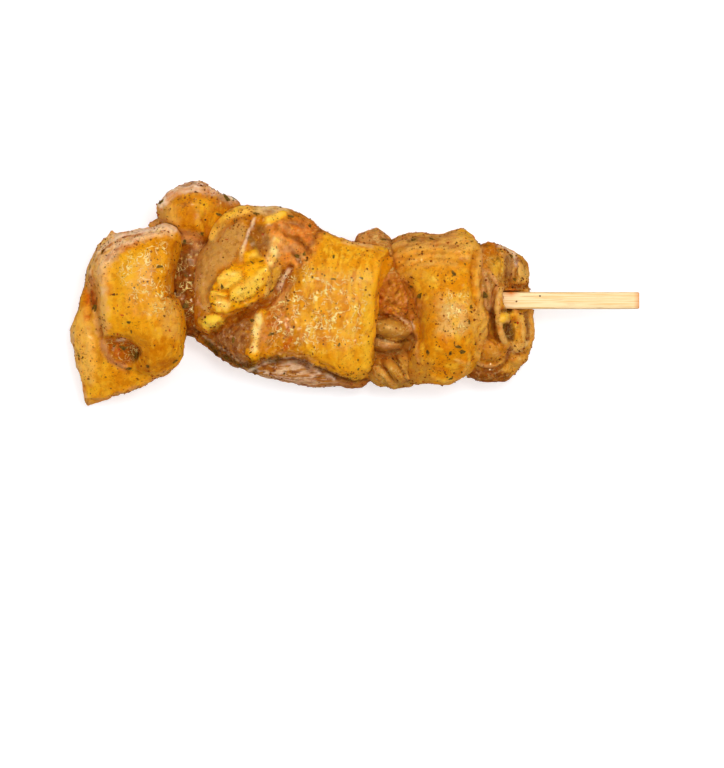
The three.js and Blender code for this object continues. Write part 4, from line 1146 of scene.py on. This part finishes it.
def tip_cluster(flesh):
    """Small folded lobes round the stick where it leaves the meat."""
    sinew = [(42.6, 4.2), (41.6, 0.6), (41.2, -4), (41.8, -8.4), (43.4, -11.6)]
    strands = [
        [(36.8, 9), (38.6, 5), (39.6, 0), (39, -5)],
        [(38.4, 8.6), (41, 5.4), (41.4, 1)],
        [(37, 3), (38, -2), (38.2, -7)],
    ]
    loop = [
        (42.6, -5.6), (43.8, -4.2), (46.4, -3.8), (48.2, -5), (48.6, -9), (48.6, -12.4), (47, -14),
        (45.8, -12.6),
    ]
    cavity = [(42.8, -6.4), (45.6, -6.6), (46.2, -9), (45.8, -12), (43.7, -11.4)]
    outer = [(49.8, -3.6), (50.4, -7.6), (50.2, -11.4)]
    fold = [(35.6, -18), (38, -19), (41, -19), (44, -17), (44.8, -13.4)]
    left_cleft = [(44.4, 12.6), (43.8, 9.4), (44, 6.6)]
    right_cleft = [(46.9, 12.4), (46.8, 9), (46.6, 6)]
    over_stick = [(44.4, 3.9), (48, 3.7), (51, 4.5)]
    flesh.raggedness = 0.4
    flesh.pull([(44.0, 2.2, 20), (43.8, 0, 20)], 1.3, (-1.4, 0, -1.8))
    flesh.pull([(44.4, -0.8, 20), (44.4, -2.8, 20)], 1.6, (-2.6, 0, -3.2))
    flesh.push(-1.6 * flesh.zone(cavity, 0.7))
    flesh.carve([
        ([(42.6, -3.2), (44.4, -3.4)], 0.6, -0.9),
        (left_cleft, 0.4, -0.5),
        (sinew, 0.8, 0.8),
        ([(x - 1.7, y - 0.2) for x, y in sinew], 0.6, -0.7),
        *[(path, 0.6, 0.4) for path in strands],
        (loop, 1.0, 0.8),
        (outer, 0.6, -0.9),
        ([(51.4, -3), (51.8, -9), (51, -15)], 0.7, 0.4),
        (right_cleft, 0.5, -1.0),
        ([(42.6, 12.4), (42.8, 9), (42, 6.6)], 0.6, -0.6),
        ([(41.4, 16), (41.8, 13), (40.6, 10.6)], 0.6, -0.6),
        (over_stick, 0.6, -0.8),
        ([(46, -15), (48, -15.4), (50.4, -14.6)], 0.5, -0.6),
        (fold, 0.6, 0.35),
        ([(x, y - 1.2) for x, y in fold], 0.6, -0.9),
        ([(38.6, -10.6), (41, -12.4), (42.6, -15)], 0.6, -0.5),
    ])
    flesh.lumps(3.5, 0.3)
    flesh.lumps(1.8, 0.15)
    flesh.wet = np.full(len(flesh.points), 0.6)
    flesh.wash(TAN, 0.7)
    flesh.mottle(AMBER, 3.5, 0.6, -0.1)
    flesh.mottle(BROWN, 2.2, 0.5, 0.1, offset=5)
    flesh.fill([
        (BURNT_ORANGE, 0.9, [(36, 17), (41.4, 17), (41.4, 13), (37.4, 12)], 1.0),
        (OLIVE_TAN, 0.8, [(38.6, 13), (42.6, 12.6), (42, 7.6), (38.6, 9)], 0.9),
        (paint(170, 122, 76), 0.7, [(42.8, 13.6), (46.4, 13), (46.2, 7), (43, 7)], 0.8),
        (GREY_BROWN, 0.4, [(41, 8.6), (46.4, 8), (46, 4.4), (42, 5)], 0.8),
        (PALE_TAN, 0.8, [(47.4, 12), (51.4, 8), (51, 5.4), (47.4, 5.6)], 0.8),
        (GREY_BROWN, 0.7, [(36.6, 9), (41, 6), (40.6, -4), (38, -8), (36.8, 0)], 1.0),
        (AMBER, 0.6, [(37.6, -9), (40.6, -9.6), (43.4, -13), (43, -17), (38, -17.4)], 1.2),
        (TAN, 0.5, [(38.6, -13), (42, -13.4), (42, -16), (39, -16.4)], 1.0),
        (TAN, 0.8, [(45.6, -15.6), (50.6, -15), (48.6, -19.4), (45, -19)], 0.9),
        (RED_BROWN, 0.85, [(31, -19.6), (36, -19.4), (41, -20.4), (45.4, -21), (45, -26), (31, -26)], 0.8),
        (PALE_TAN, 0.4, [(50.8, -3), (53, -3), (52.6, -16), (50.4, -15)], 0.6),
    ])
    season(flesh, sauce_and_shade=BROWN, rim=CREAM, rim_share=0.4)
    low = flesh.zone([(31, -19.6), (41, -20.4), (46, -21), (45, -26), (31, -26)], 0.8)
    flesh.mottle(DARK_BROWN, 1.6, 0.6 * low)
    flesh.mottle(PINK_TAN, 1.2, 0.6 * low, 0.15, offset=3)
    flesh.mottle(BURNT_ORANGE, 1.6, 0.7 * low, 0.15, offset=8)
    flesh.mottle(AMBER, 1.8, 0.4, 0.15, offset=11)
    flesh.mottle(RED_BROWN, 1.4, 0.3, 0.35, offset=17)
    flesh.fill([
        (AMBER, 0.7, [(37, 17), (41, 17), (41.4, 13.4), (38, 12.6)], 0.8),
        (PALE_GOLD, 0.5, [(39.4, 12), (43, 12.4), (43.2, 8), (40, 7)], 0.9),
        (PALE_TAN, 0.6, [(47.6, 12), (50.8, 9), (51, 5.6), (47.8, 5.8)], 0.7),
    ])
    far_lobe = flesh.zone([(36, 17), (44, 16), (45, 9), (37, 9)], 1.0)
    flesh.mottle(DARK_BROWN, 1.5, 0.6 * far_lobe, 0.1, offset=9)
    # Painted shade deep in the cavity.
    flesh.fill([(DARK_BROWN, 0.9, cavity, 0.6)])
    flesh.dab([
        (PALE_TAN, 0.9, sinew, 0.8),
        (PINK_TAN, 0.5, [(x + 0.5, y) for x, y in sinew], 0.3),
        *[(PINK_TAN, 0.8, path, 0.5) for path in strands],
        (PALE_GOLD, 0.9, loop[:4], 0.9),
        (PALE_GOLD, 0.8, [(43.2, -5.2), (44.4, -4.6), (47.6, -4.6)], 0.7),
        (BROWN, 0.6, [(45.4, -6), (46.4, -5.6), (47.4, -6)], 0.35),
        (AMBER, 0.6, [(45.4, -4.8), (47.6, -5.4)], 0.5),
        (RED_BROWN, 0.6, left_cleft, 0.35),
        # Painted shade above the stick.
        (BURNT_ORANGE, 0.7, [(42.2, 4.6), (45, 4)], 0.5),
        (PALE_TAN, 0.9, loop[3:], 0.9),
        (PALE_GOLD, 0.7, [(47, -7), (47.2, -11)], 0.8),
        (AMBER, 0.7, [(48.2, -6.4), (48, -9.6), (48.4, -12)], 0.35),
        (GREY_BROWN, 0.9, outer, 0.55),
        (BROWN, 0.7, right_cleft, 0.4),
        # Painted shadow along the meat's edge over the stick.
        (RED_BROWN, 0.9, over_stick, 0.6),
        # Painted shadow under the stick.
        (DARK_BROWN, 0.8, [(42.2, -2.8), (45.6, -3.1)], 0.5),
        (CHALKY, 0.7, [(41.6, 16.2), (44, 15.4), (46.6, 13.4), (47, 10)], 0.5),
        (PINK_TAN, 0.5, fold[:2], 0.4),
        (PINK_TAN, 0.6, fold[1:], 0.5),
        (AMBER, 0.6, [(38, -18.2), (41, -18), (43.4, -16)], 0.4),
        (RED_BROWN, 0.6, [(x, y - 1.2) for x, y in fold], 0.6),
        (CREAM, 0.7, [(46, -14.6), (48.4, -14.6), (50.4, -12)], 0.4),
        (ORANGE_RED, 0.8, [(45, 2.6), (46.4, 2.4)], 0.8),
        (BROWN, 0.7, [(47.8, 12.2), (49.6, 10.4)], 0.7),
    ])


# ---- The stick ----------------------------------------------------------------------------------
CUT_EDGE = 0.4  # how far the chipped edge of the cut end reaches
POINT_LENGTH = 15
POINT_SHARE = 0.22  # what is left of the stick's thickness at its point


def wooden_stick(material):
    """A square split stick with softened edges, drawn out from its cut end to its hidden point."""
    around, steps = 48, 110
    bpy.ops.mesh.primitive_circle_add(
        vertices=around, radius=STICK_SIDE / 2 * MM, fill_type="NGON", rotation=(0, -math.pi / 2, 0),
        location=metres((HANDLE_END, 0, STICK_HEIGHT)),
    )
    piece = bpy.context.object
    piece.name = piece.data.name = "wooden_stick"
    bpy.ops.object.transform_apply(location=True, rotation=True, scale=True)
    bpy.ops.object.mode_set(mode="EDIT")
    bpy.ops.mesh.select_all(action="SELECT")
    for length in [CUT_EDGE] + [(STICK_LENGTH - CUT_EDGE) / steps] * steps:
        bpy.ops.mesh.extrude_region_move(TRANSFORM_OT_translate={"value": (-length * MM, 0, 0)})
    bpy.ops.mesh.select_all(action="SELECT")
    bpy.ops.mesh.normals_make_consistent(inside=False)
    bpy.ops.object.mode_set(mode="OBJECT")
    points = np.zeros(len(piece.data.vertices) * 3)
    piece.data.vertices.foreach_get("co", points)
    points = millimetres(points.reshape(-1, 3))
    across = points[:, 1:] - (0, STICK_HEIGHT)
    angle = np.arctan2(across[:, 1], across[:, 0])
    square = (np.abs(np.cos(angle)) ** 7 + np.abs(np.sin(angle)) ** 7) ** (-1 / 7)
    from_point = (points[:, 0] - HANDLE_END + STICK_LENGTH) / POINT_LENGTH
    taper = np.clip(POINT_SHARE + (1 - POINT_SHARE) * from_point, POINT_SHARE, 1)
    ring = np.column_stack([points[:, 0] / 40, 4 * np.cos(angle), 4 * np.sin(angle)])
    grain = 0.07 * noise(ring) + 0.05 * noise(ring * (1, 2.3, 2.3) + 5)
    size = (square * STICK_SIDE / 2 + grain - 0.06) * taper
    chipped = np.abs(points[:, 0] - HANDLE_END) < 0.01
    size = np.where(chipped, size - 0.22 - 0.1 * noise(ring * (1, 3, 3)), size)
    points[:, 1] = size * np.cos(angle)
    points[:, 2] = STICK_HEIGHT + size * np.sin(angle)
    piece.data.vertices.foreach_set("co", metres(points).ravel())
    x, y = points[:, 0], points[:, 1]
    stain = np.exp(-(((x - 45.2) / 1.5) ** 2) - ((y - 2.3) / 1.1) ** 2)
    stain += 0.9 * np.exp(-(((x - HANDLE_END) / 0.5) ** 2))
    layer = piece.data.attributes.new("stain", "FLOAT", "POINT")
    layer.data.foreach_set("value", np.clip(stain, 0, 1).astype(np.float32))
    piece.data.update()
    piece.data.materials.append(material)
    make_active(piece)
    bpy.ops.object.shade_smooth_by_angle(angle=math.radians(40))
    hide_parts("stick")
    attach(piece, "root")


# ---- Herbs and spices ---------------------------------------------------------------------------
# The larger dried leaves, placed one by one: x, y, length and turn in degrees.
LARGE_LEAVES = [
    (-67, -13.4, 3.2, 10), (-63.4, -16.2, 3.6, 60), (-65.4, -19.6, 3, 20), (-75.2, -2.4, 4, 85),
    (-56.2, 9.5, 2.4, 20), (-76.4, 9.4, 2, 100), (-65, -6.4, 1.8, 0), (-80, -16, 1.8, 10),
    (-59.8, -19, 1.8, 30), (-51.9, -17.6, 2, 55), (-37, 29.5, 3.4, 110), (-35, 29.6, 2.8, 60),
    (-39.2, 24.8, 2, 0), (-48.6, -1.6, 3, 50), (-56, 28.4, 2, 50), (-16.6, 12.6, 2.8, 40),
    (-24, -9.8, 2.8, 35), (-35, -11.4, 3, 95), (-38, 3.8, 2, 120), (-26.8, 11.2, 2, 60),
    (-28.4, 24.9, 2.4, 20), (-18.4, 24.2, 3, 5), (-6, 6, 2, 20), (-6, 12.4, 1.6, 100), (2, 6.3, 1.6, 20),
    (-4.4, -12.9, 2, 75), (-29.5, 10.9, 1.7, 150), (8.4, 17.6, 2.4, 5), (16.4, 4, 1.8, 20),
    (18.8, 1.2, 3, 40), (28.6, 7.5, 2.2, 125), (29.9, -13.6, 2.8, 15), (27.6, -15.4, 2, 100),
    (31.2, -15, 2.2, 25), (22.4, 17.7, 2.2, 10), (17, 17.4, 2.2, 30), (33.5, -2, 1.8, 80),
    (21.2, -14.9, 2, 80), (37.6, 1.4, 3, 150), (45.4, 13, 3.4, 5), (46.4, 6.1, 2, 170), (43, -7.6, 2.4, 60),
]


DROP_HEIGHT = 60
OPEN_AIR = 5  # how far the air over a bit of spice has to reach
LIFT = 0.3  # where that air begins
LOWEST_BIT = 0.6
LEAF_REST = 0.12  # how far a leaf's middle lies over the meat
BIT_REST = 0.04
STICK_GRAINS = ((46.9, -0.3), (53.7, 1.3))


class Scatter:
    """Many small closed bits gathered into one mesh."""

    def __init__(self, name, seed):
        self.name = name
        self.random = np.random.default_rng(seed)
        self.vertices = []
        self.faces = []
        self.count = 0

    def add(self, shape, faces, place, facing, turn):
        """Lays one bit at a place, turned about the way it faces."""
        up = np.array(facing) / np.linalg.norm(facing)
        side = np.cross(up, (0.31, 0.95, 0.1))
        side /= np.linalg.norm(side)
        other = np.cross(up, side)
        along = side * math.cos(turn) + other * math.sin(turn)
        across = np.cross(up, along)
        self.vertices.append(np.array(place) + shape @ np.array([along, across, up]))
        self.faces.extend([tuple(self.count + i for i in face) for face in faces])
        self.count += len(shape)

    def done(self, material, slot):
        mesh = bpy.data.meshes.new(self.name)
        mesh.from_pydata(metres(np.vstack(self.vertices)).tolist(), [], self.faces)
        mesh.materials.append(material)
        piece = bpy.data.objects.new(self.name, mesh)
        bpy.context.collection.objects.link(piece)
        make_active(piece)
        bpy.ops.object.shade_smooth_by_angle(angle=math.radians(35))
        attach(piece, "root")
        return piece


def leaf(random, length):
    """A torn, slightly curled scrap of dry leaf: a ragged plate with a rounded rim."""
    corners = 9
    angle = np.linspace(0, 2 * math.pi, corners, endpoint=False) + random.uniform(-0.25, 0.25, corners)
    reach = random.uniform(0.45, 1.05, corners)
    x = length / 2 * reach * np.cos(angle)
    y = length * random.uniform(0.16, 0.36) * reach * np.sin(angle)
    curl = random.uniform(-0.12, 0.3) / length
    thickness = 0.06
    height = curl * x**2 - 0.3 * curl * y**2
    top = np.column_stack([x, y, height + thickness])
    bottom = np.column_stack([x, y, height - thickness])
    middle = np.array([[0, 0, thickness * 1.6], [0, 0, -thickness * 1.6]])
    faces = []
    for i in range(corners):
        j = (i + 1) % corners
        faces.append((2 * corners, i, j))
        faces.append((2 * corners + 1, corners + j, corners + i))
        faces.append((i, corners + i, corners + j, j))
    return np.vstack([top, bottom, middle]), faces


def grain_shape(random, size):
    """A cracked grain: a lopsided twenty-sided ball."""
    golden = (1 + 5**0.5) / 2
    corners = [(0, s, t * golden) for s in (-1, 1) for t in (-1, 1)]
    corners = np.array([p[-i:] + p[:-i] for p in corners for i in range(3)], float)
    corners /= np.linalg.norm(corners[0])
    faces = []
    for a, b, c in itertools.combinations(range(12), 3):
        sides = [np.linalg.norm(corners[i] - corners[j]) for i, j in ((a, b), (b, c), (a, c))]
        if max(sides) < 1.1:
            flip = np.dot(np.cross(corners[b] - corners[a], corners[c] - corners[a]), corners[a]) < 0
            faces.append((a, c, b) if flip else (a, b, c))
    stretch = random.uniform(0.45, 1.2, 3) * size / 2
    return corners * random.uniform(0.75, 1.1, (12, 1)) * stretch, faces


def landing(trees, x, y):
    """Where a bit dropped at x, y comes to lie, and which way the meat faces there."""
    start = Vector((x, y, DROP_HEIGHT))
    hits = [tree.ray_cast(start, Vector((0, 0, -1))) for tree in trees]
    hits = [hit for hit in hits if hit[0] is not None]
    return max(hits, key=lambda hit: hit[0].z)[:2] if hits else (None, None)


def open_place(trees, place, normal):
    """Whether a place on the meat is open to the air, and not pressed against another piece."""
    start = Vector(place) + Vector(normal) * LIFT
    return all(tree.ray_cast(start, Vector(normal), OPEN_AIR)[0] is None for tree in trees)


def sprinkle(scatter, meats, trees, number, shape, sizes, clumping):
    """Scatters bits over all sides of the meat, thicker in some places than in others."""
    weights = np.array([len(meat.points) * meat.grain_area for meat in meats])
    placed = 0
    while placed < number:
        meat = meats[scatter.random.choice(len(meats), p=weights / weights.sum())]
        i = scatter.random.integers(len(meat.points))
        place, normal = meat.points[i], meat.normals[i]
        thick = 0.5 + clumping * (noise(place[None] / 7 + 40)[0] + 0.6 * noise(place[None] / 2.6 + 60)[0])
        if scatter.random.random() > thick * meat.spiced[i] or place[2] < LOWEST_BIT:
            continue
        if not open_place(trees, place, normal):
            continue
        low, high = sizes
        size = low + (high - low) * scatter.random.random() ** 2.2
        points, faces = shape(scatter.random, size)
        scatter.add(points, faces, place + normal * BIT_REST, normal, scatter.random.uniform(0, 2 * math.pi))
        placed += 1


def seasoning(meats):
    trees = [BVHTree.FromPolygons(meat.points.tolist(), meat.faces()) for meat in meats]
    herbs = Scatter("herb_flakes", 21)
    for x, y, length, degrees in LARGE_LEAVES:
        place, normal = landing(trees, x, y)
        if place is None:
            continue
        points, faces = leaf(herbs.random, length)
        herbs.add(points, faces, Vector(place) + Vector(normal) * LEAF_REST, normal, math.radians(degrees))
    sprinkle(herbs, meats, trees, 230, leaf, (0.7, 2.2), 0.6)
    herbs.done(dried_material("dried_herbs", paint(128, 92, 18), paint(76, 52, 6)), "dried_herbs")
    pepper = Scatter("pepper_grains", 34)
    sprinkle(pepper, meats, trees, 1800, grain_shape, (0.26, 0.9), 1.2)
    for x, y in STICK_GRAINS:
        points, faces = grain_shape(pepper.random, 0.7)
        pepper.add(points, faces, (x, y, STICK_HEIGHT + STICK_SIDE / 2), (0, 0, 1), 0)
    pepper.done(dried_material("ground_pepper", paint(120, 60, 0), paint(66, 30, 0)), "dried_herbs")
    spice = Scatter("ground_spice", 47)
    sprinkle(spice, meats, trees, 5400, grain_shape, (0.28, 0.8), 1.1)
    spice.done(dried_material("brown_spice", paint(164, 80, 4), paint(116, 52, 0), 1.5), "dried_herbs")
    paprika = Scatter("paprika_flakes", 55)
    sprinkle(paprika, meats, trees, 200, leaf, (0.5, 1.5), 0.9)
    paprika.done(dried_material("paprika", paint(208, 84, 12), paint(168, 52, 8)), "dried_herbs")


# ---- Table, light and camera --------------------------------------------------------------------
VIEW_HEIGHT = 1.5
VIEW_SPAN = 0.2227  # what the long side of the picture shows, at the height of the stick
VIEW_CENTRE = (2.18, -24.2)  # kebab millimetres
SENSOR = 36


def table():
    bpy.ops.mesh.primitive_plane_add(size=6, location=(0, 0, 0))
    piece = bpy.context.object
    piece.name = "table"
    finish = Finish("table_white")
    finish.set(
        finish.shader, Base_Color=(0.6, 0.61, 0.64, 1), Emission_Color=(1, 1, 1, 1), Emission_Strength=0.55,
        Roughness=0.8, Specular_IOR_Level=0.1,
    )
    piece.data.materials.append(finish.material)
    piece.visible_glossy = False


def area_light(name, place, size, power, glint=False):
    """A square light aimed at the kebab. Only glint lights show in the wet film, and they light nothing."""
    data = bpy.data.lights.new(name, "AREA")
    data.shape = "SQUARE"
    data.size = size
    data.energy = power
    data.color = (1.0, 0.86, 0.58) if glint else (1.0, 1.0, 1.0)
    lamp = bpy.data.objects.new(name, data)
    lamp.location = place
    lamp.rotation_euler = (-Vector(place)).to_track_quat("-Z", "Y").to_euler()
    lamp.visible_diffuse = not glint
    lamp.visible_glossy = glint
    bpy.context.collection.objects.link(lamp)


def studio():
    world = bpy.data.worlds.new("white_room")
    world.use_nodes = True
    world.node_tree.nodes["Background"].inputs["Color"].default_value = (1, 1, 1, 1)
    world.node_tree.nodes["Background"].inputs["Strength"].default_value = 0.3
    world.cycles_visibility.glossy = False
    bpy.context.scene.world = world
    for name, place, size, power in (
        ("key", (0.2, 0.25, 1.2), 0.3, 5.0),
        ("left_softbox", (-0.8, 0.2, 0.95), 0.5, 2.6),
        ("right_softbox", (0.8, 0.0, 0.95), 0.5, 2.6),
        ("near_softbox", (0.1, -0.8, 1.0), 0.5, 2.2),
        ("far_softbox", (-0.1, 0.8, 1.0), 0.5, 2.8),
    ):
        area_light(name, place, size, power)
    glints = ((0.34, 0.1), (-0.3, -0.1), (0.1, 0.42), (-0.05, -0.4), (0.9, 0.5), (-0.8, 0.6))
    for i, (x, y) in enumerate(glints):
        area_light(f"glint_{i}", (x, y, 1.2), 0.12, 6.0, glint=True)
    bpy.context.scene.view_settings.view_transform = "Standard"


def camera():
    data = bpy.data.cameras.new("overhead")
    data.sensor_width = SENSOR
    data.lens = SENSOR * (VIEW_HEIGHT - STICK_HEIGHT * MM) / VIEW_SPAN
    piece = bpy.data.objects.new("overhead", data)
    x, y, _ = metres((*VIEW_CENTRE, 0))
    piece.location = (x, y, VIEW_HEIGHT)
    bpy.context.collection.objects.link(piece)
    bpy.context.scene.camera = piece


# ---- Assembly -----------------------------------------------------------------------------------
camera()
studio()
table()
deselect()
flesh_finish = flesh_material()
WORK = (  # each piece of meat: who works it, how fine its surface is, and how far its facets are melted
    (end_slab, 0.34, 50),
    (nub, 0.3, 50),
    (fatty_slab, 0.37, 50),
    (curled_piece, 0.28, 30),
    (domed_piece, 0.34, 50),
    (tip_cluster, 0.3, 30),
)
meats = [Flesh(work.__name__, grain, smoothing) for work, grain, smoothing in WORK]
press_together(meats)
for (work, _, _), meat in zip(WORK, meats):
    work(meat)
    meat.done(flesh_finish)
wooden_stick(wood_material())
seasoning(meats)
